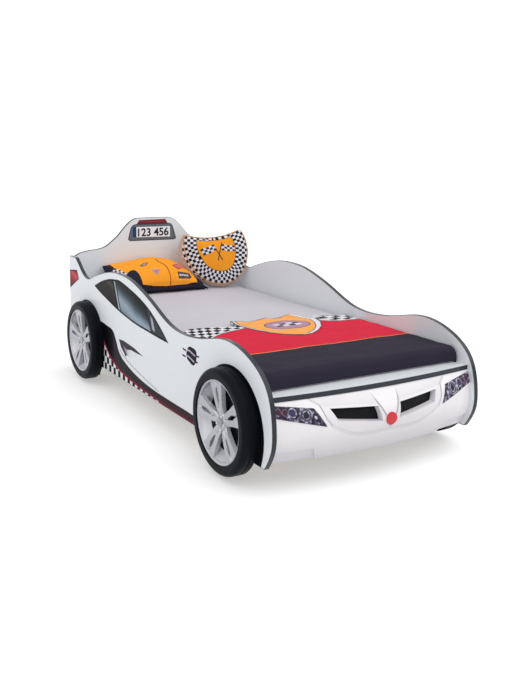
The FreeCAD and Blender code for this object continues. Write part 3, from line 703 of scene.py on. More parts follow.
VENT = [(-356, 365), (-350, 390), (-373, 419), (-424, 417), (-436, 404), (-436, 384), (-430, 366),
        (-405, 349)]
VENT_STRIPES = [[(-316, 400), (-345, 396), (-372, 403), (-425, 392), (-459, 396)],
                [(-313, 373), (-340, 371), (-365, 378), (-418, 366), (-447, 371)]]
TAIL_LAMP = [(1038, 538), (926, 551), (898, 507), (1038, 440)]
ARCHES = [(-712, 196, 227), (765, 192, 225)]
CHECKS_FRONT = -90
LIGHT_STRIP = [(-3, 476), (-22, 420), (-52, 412), (-28, 462)]
FLOOR_LINE = 106.4


def arch_disc(y, z, radius):
    reach = math.sqrt(radius ** 2 - (z - FLOOR_LINE) ** 2)
    return arc((y + reach, FLOOR_LINE), (y, z + radius), (y - reach, FLOOR_LINE), 48)


def side_layers(prints):
    """The side's printed regions, from the lowest to the topmost, in (y, z) millimetres."""
    black = printed("arch print", screen(10, 11, 14), 0.05)
    grey_line = printed("trim line print", screen(66, 66, 74))
    sill = printed("sill print", screen(48, 44, 49))
    _, y, _ = sill.axes()
    sill.paint(sill.graded(
        sill.span(y, -0.45, 0.6), (0.0, 64, 40, 50), (0.2, 56, 36, 44), (0.45, 42, 38, 43),
        (0.76, 44, 40, 46), (0.82, 50, 40, 50), (0.855, 12, 10, 14), (0.9, 9, 8, 11), (1.0, 8, 8, 11)))
    red = printed("red line print", screen(170, 36, 64))
    _, y, _ = red.axes()
    red.paint(red.graded(red.span(y, -0.4, 0.35), (0.0, 104, 34, 46), (1.0, 178, 40, 70)))
    soft_red = printed("red shade print", screen(96, 34, 52))
    checks = printed("sill check print", screen(28, 28, 34))
    _, y, z = checks.axes()
    lean = checks.math("SUBTRACT", z, PANEL_FOOT)
    checks.paint(checks.checks(checks.math("MULTIPLY", y, 1.15), lean, prints.checker,
                               screen(14, 14, 20), screen(226, 228, 230)))
    window_frame = printed("window frame print", screen(26, 28, 32))
    pillar_light = printed("pillar light print", screen(176, 180, 186))
    rear_glass = printed("rear glass print", screen(40, 36, 33), 0.2, 0.3)
    _, y, z = rear_glass.axes()
    sheen = rear_glass.math("SUBTRACT", z, rear_glass.math("MULTIPLY", y, 0.25))
    rear_glass.paint(rear_glass.graded(
        rear_glass.span(sheen, 0.36, 0.46), (0.0, 16, 14, 14), (0.5, 30, 26, 23), (0.75, 66, 60, 54),
        (0.9, 30, 27, 24), (1.0, 18, 17, 16)))
    door_glass = printed("door glass print", screen(120, 135, 150), 0.05)
    _, y, z = door_glass.axes()
    top = door_glass.graph(y, [(py * MM, pz * MM) for py, pz in WINDOW_TOP])
    bottom = door_glass.graph(y, [(py * MM, pz * MM) for py, pz in WINDOW_BOTTOM])
    sheen = door_glass.math("DIVIDE", door_glass.math("SUBTRACT", z, bottom),
                            door_glass.math("SUBTRACT", top, bottom))
    sheen = door_glass.math("ADD", sheen, door_glass.span(y, 0.05, 0.45, 0.2, -0.16))
    sheen = door_glass.math("ADD", sheen, door_glass.span(door_glass.noise(9.0, 3.0), 0.0, 1.0, -0.08, 0.08))
    door_glass.paint(door_glass.graded(
        sheen, (0.0, 98, 118, 132), (0.14, 134, 152, 166), (0.34, 152, 168, 182), (0.5, 112, 128, 142),
        (0.64, 68, 82, 90), (0.78, 44, 50, 52), (1.0, 26, 27, 29)))
    front_glass = printed("front glass print", screen(58, 62, 66), 0.15, 0.3)
    light_strip = printed("light strip print", screen(172, 177, 187))
    intake_line = printed("intake line print", screen(62, 56, 66))
    intake = printed("intake print", screen(190, 190, 196))
    _, y, z = intake.axes()
    intake.paint(intake.graded(
        intake.span(y, 0.21, 0.31), (0.0, 228, 231, 233), (0.35, 214, 213, 220), (0.7, 150, 142, 160),
        (1.0, 88, 78, 94)))
    violet = printed("vent print", screen(36, 28, 46), 0.15)
    lilac = printed("vent stripe print", screen(190, 182, 202))
    lamp_edge = printed("tail lamp edge print", screen(52, 28, 36))
    lamp = printed("tail lamp print", screen(150, 30, 44), 0.1, 0.25)
    _, y, z = lamp.axes()
    glow = lamp.math("ADD", z, lamp.math("MULTIPLY", y, -0.35))
    lamp.paint(lamp.graded(
        lamp.span(glow, 0.1, 0.24), (0.0, 96, 14, 26), (0.35, 160, 34, 46), (0.6, 200, 70, 80),
        (0.8, 136, 26, 38), (1.0, 84, 22, 32)))

    edge = prints.frame_width / MM
    window = flowing(WINDOW_TOP)[:-1] + flowing(WINDOW_BOTTOM)[:-1]
    glass = inset(window, edge)
    sill_edge = flowing(SILL_EDGE)
    red_line = flowing(RED_LINE)
    checks_edge = [point for point in red_line if point[0] > CHECKS_FRONT]
    layers = [(arch_disc(*ARCHES[0]), black), (arch_disc(*ARCHES[1]), black)]
    layers += [(sill_edge + [(-520, FLOOR_LINE), (600, FLOOR_LINE)], sill),
               (checks_edge + [(CHECKS_FRONT, FLOOR_LINE), (560, FLOOR_LINE)], checks),
               (ribbon([(y, z + 5) for y, z in red_line], 16, 6), soft_red), (ribbon(red_line, 6, 3), red),
               (ribbon(flowing(TRIM_LINE), 3.4, 1.4), grey_line),
               (INTAKE_INSIDE, intake), (INTAKE_TOP, intake_line), (INTAKE_SIDE, intake_line)]
    layers += [(window, window_frame), (glass, door_glass),
               (kept_left(glass, PILLAR[0], PILLAR[2]), rear_glass),
               (kept_left(glass, DIVIDER[2], DIVIDER[0]), front_glass)]
    pillar = strip_across(glass, PILLAR[0], PILLAR[2], 9)
    pillar_light_strip, pillar_dark_strip = (
        strip_across(glass, (PILLAR[0][0] - away, PILLAR[0][1]), (PILLAR[2][0] - away, PILLAR[2][1]), half)
        for away, half in ((17, 7), (29, 6)))
    divider = strip_across(glass, DIVIDER[0], DIVIDER[2], 4)
    layers += [(pillar_dark_strip, window_frame), (pillar_light_strip, pillar_light), (pillar, window_frame),
               (divider, window_frame), (LIGHT_STRIP, light_strip)]
    layers += [(flowing(VENT + VENT[:1], 4)[:-1], violet)]
    layers += [(ribbon(flowing(stripe, 4), 7), lilac) for stripe in VENT_STRIPES]
    layers += [(ribbon(flowing(stripe[:2], 3), 5, 8), violet) for stripe in VENT_STRIPES]
    layers += [(ribbon(flowing(stripe[-2:], 3), 8, 5), violet) for stripe in VENT_STRIPES]
    layers += [(TAIL_LAMP, lamp_edge), (inset(TAIL_LAMP, 7), lamp)]
    return layers


# ---- the headboard's print ----
PLATE_HOLDER = [(-154, 687), (-137, 752), (-122, 766), (-105, 771), (95, 771), (112, 766), (122, 750),
                (142, 683), (130, 675), (-142, 677)]
PLATE = [(-103, 697), (104, 693), (104, 752), (-103, 754)]
PLATE_END = [(-125, 698), (-103, 697), (-103, 754), (-125, 755)]
STOP_LAMP = [(-100, 770), (-86, 792), (74, 794), (88, 770)]
PLATE_DIGITS = "123 456"
DIGIT_HEIGHT, DIGITS_WIDTH, DIGITS_MIDDLE = 46 * MM, 188 * MM, 723.5 * MM


def head_layers():
    holder = printed("plate holder print", screen(104, 111, 119), 0.12)
    rim = printed("plate rim print", screen(66, 72, 80))
    plate = printed("plate print", screen(236, 237, 240), 0.02)
    end = printed("plate end print", screen(38, 72, 118))
    lamp = printed("stop lamp print", screen(112, 34, 46), 0.12)
    light = printed("stop lamp light print", screen(150, 60, 70), 0.15)
    return [(STOP_LAMP, lamp), (inset(STOP_LAMP, 7), light),
            (PLATE_HOLDER, rim), (inset(PLATE_HOLDER, 5), holder), (PLATE_END, end), (PLATE, plate)]


def plate_digits(thickness, lift):
    text = bpy.data.curves.new("plate digits", "FONT")
    text.body = PLATE_DIGITS
    text.align_x = text.align_y = "CENTER"
    text.size = 1.0
    text.offset = 0.022
    text.extrude = 0.5
    piece = added("plate_digits", text)
    mesh = evaluated_mesh(piece)
    bpy.data.objects.remove(piece)
    xs, ys, zs = ([v.co[i] for v in mesh.vertices] for i in range(3))
    width, height = max(xs) - min(xs), max(ys) - min(ys)
    scale = DIGIT_HEIGHT / height
    narrow = DIGITS_WIDTH / (width * scale)
    for vertex in mesh.vertices:
        x, y, z = vertex.co
        vertex.co = ((x - (max(xs) + min(xs)) / 2) * scale * narrow,
                     HEADBOARD_FACE - lift - thickness * (z - min(zs)) / (max(zs) - min(zs)),
                     DIGITS_MIDDLE + (y - (max(ys) + min(ys)) / 2) * scale)
    mesh.materials.clear()
    mesh.materials.append(printed("digit print", screen(34, 36, 42)).material)
    return faced_outwards(added("plate_digits", mesh))


# ---- shapes of cloth ----
def puckered(x, y, amount, scale=7.0, seed=0.0):
    """Soft rises and creases of cloth over a filling."""
    return amount * (0.7 * noise.noise(Vector((x * scale, y * scale, seed)))
                     + 0.3 * noise.noise(Vector((x * scale * 3, y * scale * 3, seed + 5))))


def rounded_loop(half_x, low_y, high_y, corner, spacing):
    """Points round a rounded rectangle."""
    points = []
    corners = [(half_x - corner, high_y - corner, 0), (-half_x + corner, high_y - corner, 90),
               (-half_x + corner, low_y + corner, 180), (half_x - corner, low_y + corner, 270)]
    for number, (cx, cy, first) in enumerate(corners):
        for step in range(9):
            angle = math.radians(first + 90 * step / 8)
            points.append((cx + corner * math.cos(angle), cy + corner * math.sin(angle)))
        next_x, next_y, next_first = corners[(number + 1) % 4]
        angle = math.radians(next_first)
        end = (next_x + corner * math.cos(angle), next_y + corner * math.sin(angle))
        start = points[-1]
        steps = max(1, round(math.dist(start, end) / spacing))
        points += [(start[0] + (end[0] - start[0]) * i / steps, start[1] + (end[1] - start[1]) * i / steps)
                   for i in range(1, steps)]
    return points


def ring_faces(rings, count):
    faces = []
    for ring in range(rings - 1):
        for i in range(count):
            j = (i + 1) % count
            faces.append((ring * count + i, ring * count + j, (ring + 1) * count + j, (ring + 1) * count + i))
    return faces


# ---- boards, base and prints ----
class CARBED_OT_boards(Operator):
    """White boards and the charcoal strip on their edges"""
    bl_idname = "carbed.boards"
    bl_label = "Boards and edging"

    def execute(self, context):
        colours = context.scene.carbed_colours
        dress(("side_panel_left", "side_panel_right", "headboard", "front_board", "front_shelf"),
              board_film(colours.board))
        edging = moulding("edging strip", colours.edging, 0.22, scale=420.0, Specular_IOR_Level=0.3)
        dress(("side_edge_band_left", "side_edge_band_right", "headboard_edge_band", "front_shelf_edge_band"),
              edging)
        return {"FINISHED"}


class CARBED_OT_base(Operator):
    """Timber, slats, fittings and glides under the mattress"""
    bl_idname = "carbed.base"
    bl_label = "Bed base"

    def execute(self, context):
        colours = context.scene.carbed_colours
        dress(("side_bearer_left", "side_bearer_right", "centre_beam"), timber("pine along", colours.pine, 1))
        dress(("head_bearer", "foot_bearer"), timber("pine across", colours.pine, 0))
        dress([name for name in NODES if name.startswith(("foot_front", "foot_rear", "beam_leg"))],
              timber("pine upright", colours.pine, 2))
        dress([name for name in NODES if name.startswith("slat_")], timber("birch slats", colours.birch, 0))
        steel = moulding("zinc plate", screen(176, 178, 180), 0.34, 0.00005, 600.0, Metallic=0.9)
        dress(("beam_hangers", "corner_brackets", "wheel_screws", "wood_screws", "small_screws"), steel)
        dress(("floor_glides",), moulding("glide plastic", screen(62, 62, 62), 0.55))
        return {"FINISHED"}


class CARBED_OT_side_prints(Operator):
    """Window, sill, vent and lamp prints on both sides"""
    bl_idname = "carbed.side_prints"
    bl_label = "Side prints"

    def execute(self, context):
        prints = context.scene.carbed_prints
        layers = side_layers(prints)
        for name, side in SIDES:
            piece = film("side_print_" + name, layers,
                         lambda y, z, depth: Vector((side * (PANEL_OUT + depth), y * MM, z * MM)),
                         prints.thickness, prints.lift)
            settled(piece, "bed")
        return {"FINISHED"}


class CARBED_OT_head_print(Operator):
    """Number plate and stop lamp print on the headboard"""
    bl_idname = "carbed.head_print"
    bl_label = "Headboard print"

    def execute(self, context):
        prints = context.scene.carbed_prints
        piece = film("head_print", head_layers(),
                     lambda x, z, depth: Vector((x * MM, HEADBOARD_FACE - depth, z * MM)),
                     prints.thickness, prints.lift)
        settled(piece, "bed")
        digits = plate_digits(prints.thickness, prints.thickness + 2 * prints.lift)
        settled(digits, "bed")
        return {"FINISHED"}


# ---- bumper ----
# lenses of a headlamp: distance from the middle, height, radius, and the colours of glass and ring
LAMP_LENSES = [(446, 311, 13, (62, 42, 58), (140, 108, 126)),
               (421, 308, 12, (66, 44, 60), (138, 106, 124)),
               (394, 304, 16, (56, 52, 84), (206, 208, 228)),
               (346, 293, 25, (48, 44, 62), (168, 166, 186)),
               (346, 293, 15, (38, 36, 50), (198, 196, 214)),
               (312, 283, 6, (190, 188, 206), (226, 226, 236))]
# the bumper's moulded lip under the grilles: distance from the middle, height
LIP_LINE = [(0, 204), (100, 200), (150, 205), (205, 226), (250, 250), (272, 280), (285, 322), (480, 480)]
PROW_FOOT, PROW_SLOPE = 206, 1.85
CHANNEL_TOP, CHANNEL_RISE = 297, 0.066


def bumper_gloss(colour):
    """White moulding whose grilles lie in a shallow channel, between the lip and the prow; painted shade
    darkens its lower part and the channel.
    """
    gloss = moulding("bumper gloss", colour, 0.3, 0.00003, 90.0, Specular_IOR_Level=0.4)
    x, _, z = gloss.axes()
    across = gloss.math("ABSOLUTE", x)
    lip = gloss.graph(across, [(px * MM, pz * MM) for px, pz in LIP_LINE])
    under_lip = gloss.span(gloss.math("SUBTRACT", z, lip), -0.012, 0.004, 1.0, 0.0)
    prow = gloss.math("ADD", gloss.math("MULTIPLY", across, PROW_SLOPE), PROW_FOOT * MM)
    on_prow = gloss.span(gloss.math("SUBTRACT", z, prow), -0.002, 0.014)
    top = gloss.math("ADD", gloss.math("MULTIPLY", across, CHANNEL_RISE), CHANNEL_TOP * MM)
    over_top = gloss.span(gloss.math("SUBTRACT", z, top), -0.001, 0.034)
    raised = gloss.math("MAXIMUM", gloss.math("MAXIMUM", under_lip, on_prow), over_top)
    gloss.bump(raised, 0.012, 1.0)
    before = gloss.shader.inputs["Base Color"].links[0].from_socket
    # Painted shade: darker towards the bottom, where the moulding turns under.
    low = gloss.span(z, 0.13, 0.22, 1.0, 0.0)
    painted_shade = gloss.mix(gloss.math("MULTIPLY", low, 0.7), (1, 1, 1), (0.74, 0.73, 0.76))
    # Painted shade: the channel between the lip, the prow and the top is darkened as a recess.
    painted_shade = gloss.mix(raised, gloss.mix(0.5, painted_shade, (0.86, 0.85, 0.88)), painted_shade)
    gloss.paint(gloss.mix(1.0, before, painted_shade, "MULTIPLY"))
    return gloss


def headlamp_film():
    """Dark film with lenses and the small lights that glass and chrome give."""
    lamps = Finish("headlamp film", screen(40, 33, 50), 0.3, Specular_IOR_Level=0.2)
    x, _, z = lamps.axes()
    across = lamps.math("ABSOLUTE", x)
    cloud = lamps.noise(70.0, 4.0, 0.7)
    paint = lamps.graded(cloud, (0.35, 26, 21, 34), (0.5, 46, 38, 58), (0.58, 110, 100, 128),
                         (0.66, 204, 200, 218))
    wobble = lamps.span(lamps.noise(55.0, 3.0, 0.6, distortion=1.5), 0.0, 1.0, -0.004, 0.004)
    broken = lamps.span(lamps.noise(95.0, 2.0, 0.5), 0.42, 0.58, 0.15, 1.0)
    for lens_x, lens_z, radius, fill, ring in LAMP_LENSES:
        off = lamps.node("VectorMath", (lamps.joined(across, 0.0, z), (lens_x * MM, 0.0, lens_z * MM)), 1,
                         operation="DISTANCE")
        off = lamps.math("ADD", off, wobble)
        lit = lamps.math("MULTIPLY", lamps.math("LESS_THAN", off, radius * MM), broken)
        paint = lamps.mix(lit, paint, screen(*ring))
        inside = lamps.span(off, 0.68 * radius * MM, 0.9 * radius * MM, 1.0, 0.0)
        paint = lamps.mix(inside, paint, screen(*fill))
    lamps.paint(paint)
    return lamps


class CARBED_OT_bumper(Operator):
    """Bumper, headlamp films, grille inserts and nose disc"""
    bl_idname = "carbed.bumper"
    bl_label = "Bumper"

    def execute(self, context):
        dress(("bumper_shell",), bumper_gloss(context.scene.carbed_colours.bumper))
        dress(("headlamp_panel_left", "headlamp_panel_right"), headlamp_film())
        dress(("grille_insert_left", "grille_insert_right"),
              moulding("grille black", screen(16, 17, 22), 0.5, 0.0002, 320.0, Specular_IOR_Level=0.12))
        dress(("nose_disc",), moulding("nose red", screen(206, 36, 48), 0.3))
        return {"FINISHED"}


# ---- wheels, as (depth from the panel, across, outwards from the axle) in millimetres ----
# one arm of a petal, as (across, outwards); its twin is its mirror image
PETAL_ARM = [(0.4, 30), (19, 30), (24, 60), (31, 100), (41, 138), (43, 153), (0.4, 155), (0.4, 134),
             (5, 133), (10, 127), (9.5, 110), (6.5, 80), (3.5, 58), (0.4, 54)]
PETAL_THICK, PETAL_BEVEL = 17, 4.5
PETAL_COUNT, PETAL_PHASE = 5, -7
RIM_SECTION = [(18.5, 157.2), (55.6, 157.2), (55.8, 153.5), (53, 149.5), (47, 148), (40, 142), (30, 131),
               (22, 120), (18.6, 117), (18.6, 120), (28, 133), (37, 145), (37, 153.5), (18.5, 153.5)]
HUB_SECTION = [(18.5, 0), (18.5, 40), (28, 40), (38, 36), (41.6, 32), (41.9, 17.5), (41.9, 0)]


def dished(outwards):
    """Depth of the petals' face: set back at the hub."""
    return 42 + 13 * min(1.0, max(0.0, (outwards - 30) / 118)) ** 0.8


def petal(finish):
    """The two arms of a petal that points upwards, with bevelled upper edges."""
    shape = bmesh.new()
    for side in (-1, 1):
        outline = wound([(side * t, r) for t, r in PETAL_ARM])
        low = [shape.verts.new((-PETAL_THICK, t, r)) for t, r in outline]
        high = [shape.verts.new((0, t, r)) for t, r in outline]
        shape.faces.new(low[::-1])
        top = shape.faces.new(high)
        for i in range(len(outline)):
            j = (i + 1) % len(outline)
            shape.faces.new((low[i], low[j], high[j], high[i]))
        bmesh.ops.bevel(shape, geom=list(top.edges), offset=PETAL_BEVEL, segments=1, affect="EDGES")
    bmesh.ops.triangulate(shape, faces=shape.faces)
    for vert in shape.verts:
        u, t, r = vert.co
        groove = 0.12 * max(0.0, 12 - abs(t)) if u > -1 else 0
        vert.co = Vector((u + dished(r) - 0.02 * abs(t) - groove, t, r)) * MM
    mesh = bpy.data.meshes.new("petal")
    shape.to_mesh(mesh)
    shape.free()
    mesh.materials.append(finish.material)
    return added("petal", mesh)


def petal_ring(finish):
    """Petals set evenly round the axle by geometry nodes."""
    shape = NodeShape("petal ring", petal(finish))
    count = shape.size("Petals", "Int", PETAL_COUNT)
    first = shape.size("First turn", "Float", math.radians(PETAL_PHASE))
    places = shape.node("GeometryNodeMeshLine", {"Count": count, "Offset": (0.0, 0.0, 0.0)})
    step = shape.node("ShaderNodeMath", (2 * math.pi, count), operation="DIVIDE")
    number = shape.node("GeometryNodeInputIndex")
    turn = shape.node("ShaderNodeMath", (number, step, first), operation="MULTIPLY_ADD")
    turned = shape.node("ShaderNodeCombineXYZ", (turn, 0.0, 0.0))
    rows = shape.node("GeometryNodeInstanceOnPoints", {"Points": places, "Instance": shape.inside.outputs[0],
                                                      "Rotation": turned})
    return shape.baked("petal ring", rows, finish)


def spun(section, steps):
    """Points and faces of a closed section, as (depth, outwards), turned round the axle."""
    turns = [2 * math.pi * i / steps for i in range(steps)]
    points = [(u * MM, -r * MM * math.sin(turn), r * MM * math.cos(turn))
              for turn in turns for u, r in section]
    count = len(section)
    faces = [(i * count + k, i * count + (k + 1) % count, (i + 1) % steps * count + (k + 1) % count,
              (i + 1) % steps * count + k) for i in range(steps) for k in range(count)]
    return points, faces


def silver_coat(colour):
    """Silver with painted light: lighter on the facets that face up and to the front, darker on those that
    face down and back.
    """
    silver = moulding("rim silver", colour, 0.28, 0.00005, 500.0, Metallic=0.2)
    before = silver.shader.inputs["Base Color"].links[0].from_socket
    # Painted light and shade: each facet is lightened or darkened by the way it faces.
    _, back, up = silver.axes(silver.node("NewGeometry", output="Normal"))
    lit = silver.span(silver.math("ADD", up, silver.math("MULTIPLY", back, -0.5)), -0.8, 0.8)
    facets = silver.graded(lit, (0.0, 118, 116, 126), (0.5, 206, 206, 211), (1.0, 255, 255, 255))
    silver.paint(silver.mix(1.0, before, facets, "MULTIPLY"))
    return silver


def rim_solid(silver):
    """The petals, the rim's ring and the hub as one mesh round the axle."""
    ring = petal_ring(silver)
    solid = bmesh.new()
    solid.from_mesh(ring.data)
    bpy.data.objects.remove(ring)
    for section in (RIM_SECTION, HUB_SECTION):
        points, faces = spun(section, 96)
        verts = [solid.verts.new(point) for point in points]
        for face in faces:
            solid.faces.new([verts[i] for i in face]).smooth = True
    bmesh.ops.remove_doubles(solid, verts=solid.verts, dist=0.01 * MM)
    bmesh.ops.delete(solid, geom=[edge for edge in solid.edges if not edge.link_faces], context="EDGES")
    return solid


class CARBED_OT_wheels(Operator):
    """Tyres, rims, caps and lug bolts"""
    bl_idname = "carbed.wheels"
    bl_label = "Wheels"

    def execute(self, context):
        colours = context.scene.carbed_colours
        dress([name for name in NODES if name.startswith("tyre_")],
              moulding("tyre satin", colours.tyre, 0.4, 0.00008, 300.0, Specular_IOR_Level=0.06))
        silver = silver_coat(colours.rim)
        solid = rim_solid(silver)
        for name in [name for name in NODES if name.startswith("rim_")]:
            low, high = (Vector(corner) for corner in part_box(name))
            axle = (low + high) / 2
            outward = 1 if axle.x > 0 else -1
            spot = Matrix.Translation((outward * PANEL_OUT, axle.y, axle.z))
            place = spot @ Matrix.Scale(outward, 4, (1, 0, 0))
            mesh = bpy.data.meshes.new(name.replace("rim_", "wheel_petals_"))
            solid.to_mesh(mesh)
            mesh.transform(place)
            mesh.materials.append(silver.material)
            piece = added(mesh.name, mesh)
            faced_outwards(piece).data.set_sharp_from_angle(angle=math.radians(28))
            settled(piece, "bed", (name,))
        solid.free()
        dress([name for name in NODES if name.startswith("hub_cap_")],
              moulding("cap silver", screen(150, 150, 158), 0.3, Metallic=0.4))
        dress(("wheel_lug_bolts",), moulding("lug silver", screen(226, 226, 230), 0.3, Metallic=0.4))
        return {"FINISHED"}


# ---- bedding ----
MATTRESS_CORNER, MATTRESS_EDGE = 50 * MM, 28 * MM
SHEET_RING, SHEET_SINK = 18 * MM, 2 * MM


def mattress_profile(height):
    """The mattress's section from its underside to its middle, as (inwards, upwards)."""
    edge = MATTRESS_EDGE
    bend = [math.radians(15 * i) for i in range(1, 6)]
    profile = [(0.30, 0), (0.12, 0), (edge, 0)]
    profile += [(edge * (1 - math.sin(a)), edge * (1 - math.cos(a))) for a in bend]
    profile += [(0, edge + (height - 2 * edge) * i / 6) for i in range(7)]
    profile += [(edge * (1 - math.cos(a)), height - edge * (1 - math.sin(a))) for a in bend]
    return profile + [(edge + SHEET_RING * i, height) for i in range(23)]


class CARBED_OT_mattress(Operator):
    """Mattress in its grey fitted sheet"""
    bl_idname = "carbed.mattress"
    bl_label = "Mattress"

    def execute(self, context):
        colours = context.scene.carbed_colours
        low, high = MATTRESS_LOW, MATTRESS_HIGH
        profile = mattress_profile(high.z - low.z)
        loop = rounded_loop(high.x, low.y, high.y, MATTRESS_CORNER, 0.02)
        middle, half = (low.y + high.y) / 2, (high.y - low.y) / 2
        points = []
        for inward, up in profile:
            for x, y in loop:
                shrink_x = max(0.0, high.x - inward) / high.x
                shrink_y = max(0.0, half - inward) / half
                px, py = x * shrink_x, middle + (y - middle) * shrink_y
                z = low.z + up
                if up > MATTRESS_EDGE:
                    share = min(1.0, inward / 0.1)
                    z += (puckered(px, py, 2.4 * MM, 5.0) - SHEET_SINK) * share
                elif inward == 0:
                    shift = puckered(py + px, up, 1.2 * MM, 9.0) - 1.2 * MM
                    px += shift * (1 if px > 0 else -1) if abs(px) > high.x - MATTRESS_CORNER else 0
                points.append((px, py, z))
        count = len(loop)
        faces = ring_faces(len(profile), count)
        faces.append(tuple(reversed(range(count))))
        faces.append(tuple(range((len(profile) - 1) * count, len(profile) * count)))
        cloth = Finish("fitted sheet cotton", colours.sheet, 0.85, Sheen_Weight=0.25, Sheen_Roughness=0.5)
        cloud = cloth.noise(3.0, 3.0)
        cloth.paint(cloth.mix(cloth.span(cloud, 0.35, 0.65), colours.sheet,
                              tuple(c * 0.94 for c in colours.sheet)))
        woven(cloth)
        piece = faced_outwards(new_piece("mattress_in_sheet", points, faces, [cloth]))
        settled(piece, "bedding", ("mattress",))
        return {"FINISHED"}


COVERLET_HEAD = [(-460, -196), (-436, -188), (-416, -180), (-390, -152), (-366, -131), (-331, -126),
                 (-288, -136), (-228, -146), (-182, -168), (-150, -172), (-133, -120), (-124, -71),
                 (-111, -66), (-84, -90), (-44, -110), (11, -92), (57, -78), (85, -100), (125, -99),
                 (170, -74), (212, -54), (226, -84), (240, -140), (262, -150), (289, -134), (332, -167),
                 (403, -190), (460, -196)]
CHECKS_LOW = [(-460, -392), (-364, -334), (-320, -296), (-270, -262), (-214, -246), (-163, -228),
              (-125, -214), (0, -205), (160, -212), (259, -244), (306, -277), (388, -286), (460, -290)]
ORANGE_LINE = -622
BADGE = [(-122, -72), (-104, -74), (-84, -92), (-44, -112), (11, -94), (57, -80), (85, -102), (125, -101),
         (170, -76), (210, -57), (224, -84), (243, -140), (253, -205), (229, -278), (183, -348),
         (129, -400), (72, -438), (20, -452), (-17, -433), (-57, -401), (-90, -352), (-118, -283),
         (-134, -207), (-138, -146)]
BADGE_LEFT = -128
MEDALLION = (62, -256, 112, 80)


def coverlet_head(x):
    """Where the coverlet ends towards the head, in metres."""
    xs, ys = zip(*COVERLET_HEAD)
    return float(np.interp(x / MM, xs, ys)) * MM


def coverlet_top(x, y):
    """Height of the coverlet's upper face on the mattress."""
    thickness = bpy.context.scene.carbed_bedding.coverlet_thickness
    base = MATTRESS_HIGH.z + thickness + 3.5 * MM
    return base + puckered(x, y, 5 * MM, 5.5, 3.0) + puckered(x * 0.4, y, 3 * MM, 11.0, 9.0)


def coverlet_point(x, y):
    """A flat point of the coverlet laid over the mattress, its sides and its foot."""
    side_fold, foot_fold = 26 * MM, 24 * MM
    half, foot = COVERLET_HIGH.x - 1.5 * MM, COVERLET_LOW.y + 1 * MM
    z = coverlet_top(x, y)
    over_side = max(0.0, abs(x) - (half - side_fold)) / side_fold
    over_foot = max(0.0, (foot + foot_fold) - y) / foot_fold
    drop_limit = COVERLET_LOW.z + 3 * MM
    if over_side > 0:
        angle = min(over_side, math.pi / 2)
        x = math.copysign(half - side_fold + side_fold * math.sin(angle), x)
        z -= side_fold * (1 - math.cos(angle)) + side_fold * max(0.0, over_side - angle)
    if over_foot > 0:
        angle = min(over_foot, math.pi / 2)
        y = foot + foot_fold - foot_fold * math.sin(angle)
        z -= foot_fold * (1 - math.cos(angle)) + foot_fold * max(0.0, over_foot - angle)
    return Vector((x, y, max(z, drop_limit)))


def coverlet_sheet(spacing):
    """Points and faces of the coverlet's upper face, laid out flat and then over the mattress."""
    half_flat = COVERLET_HIGH.x + 34 * MM
    foot_flat = COVERLET_LOW.y - 52 * MM
    columns = int(2 * half_flat / spacing)
    rows = int((coverlet_head(0) - foot_flat) / spacing)
    points, faces = [], []
    for row in range(rows + 1):
        for column in range(columns + 1):
            x = -half_flat + 2 * half_flat * column / columns
            head = coverlet_head(x)
            points.append(coverlet_point(x, head + (foot_flat - head) * row / rows))
    for row in range(rows):
        for column in range(columns):
            first = row * (columns + 1) + column
            faces.append((first, first + columns + 1, first + columns + 2, first + 1))
    return points, faces


def coverlet_cotton(colours, checker):
    """Charcoal foot, orange line, red field and checks at the head."""
    cloth = Finish("coverlet cotton", colours.red, 0.8, Specular_IOR_Level=0.08)
    x, y, z = cloth.axes()
    edge = cloth.graph(x, [(px * MM, py * MM) for px, py in CHECKS_LOW])
    into = cloth.math("SUBTRACT", y, edge)
    checks = cloth.checks(cloth.math("ADD", x, cloth.math("MULTIPLY", y, 0.25)), into,
                          checker, screen(34, 33, 40), screen(228, 228, 232))
    paint = cloth.mix(cloth.above(y, ORANGE_LINE * MM + 0.003), screen(240, 150, 60), colours.red)
    paint = cloth.mix(cloth.above(y, ORANGE_LINE * MM - 0.003), colours.charcoal, paint)
    paint = cloth.mix(cloth.above(into, -0.006), paint, screen(36, 32, 42))
    paint = cloth.mix(cloth.above(into, 0.0), paint, screen(206, 204, 210))
    paint = cloth.mix(cloth.above(into, 0.012), paint, checks)
    shaded(cloth, paint, 16.0, 0.1, 0.25)
    woven(cloth)
    return cloth


def badge_layers(orange_colour):
    """The badge's regions, from the lowest to the topmost, in (x, y) millimetres."""
    line = cotton("badge line cotton", screen(58, 44, 54), 30.0, 0.9)
    white = cotton("badge white cotton", screen(224, 222, 226), 30.0, 0.9)
    orange = cotton("badge orange cotton", tuple(orange_colour), 30.0, 0.9, 0.72, Sheen_Weight=0.15)
    lilac = cotton("badge medallion cotton", screen(170, 132, 160), 30.0, 0.9)
    orange_edge = [(BADGE_LEFT + (x - BADGE_LEFT) * 0.93 + 3, y) for x, y in inset(BADGE, 9)]
    cx, cy, rx, ry = MEDALLION
    layers = [(BADGE, line), (inset(BADGE, 4), white),
              (orange_edge, line), (inset(orange_edge, 4), orange),
              (disc(cx, cy, rx, ry / rx), line), (disc(cx, cy, rx - 5, (ry - 5) / (rx - 5)), lilac)]
    return layers + checkered(4, 2, lambda i, j: (cx - 64 + 32 * i, cy - 28 + 28 * j), white, line)


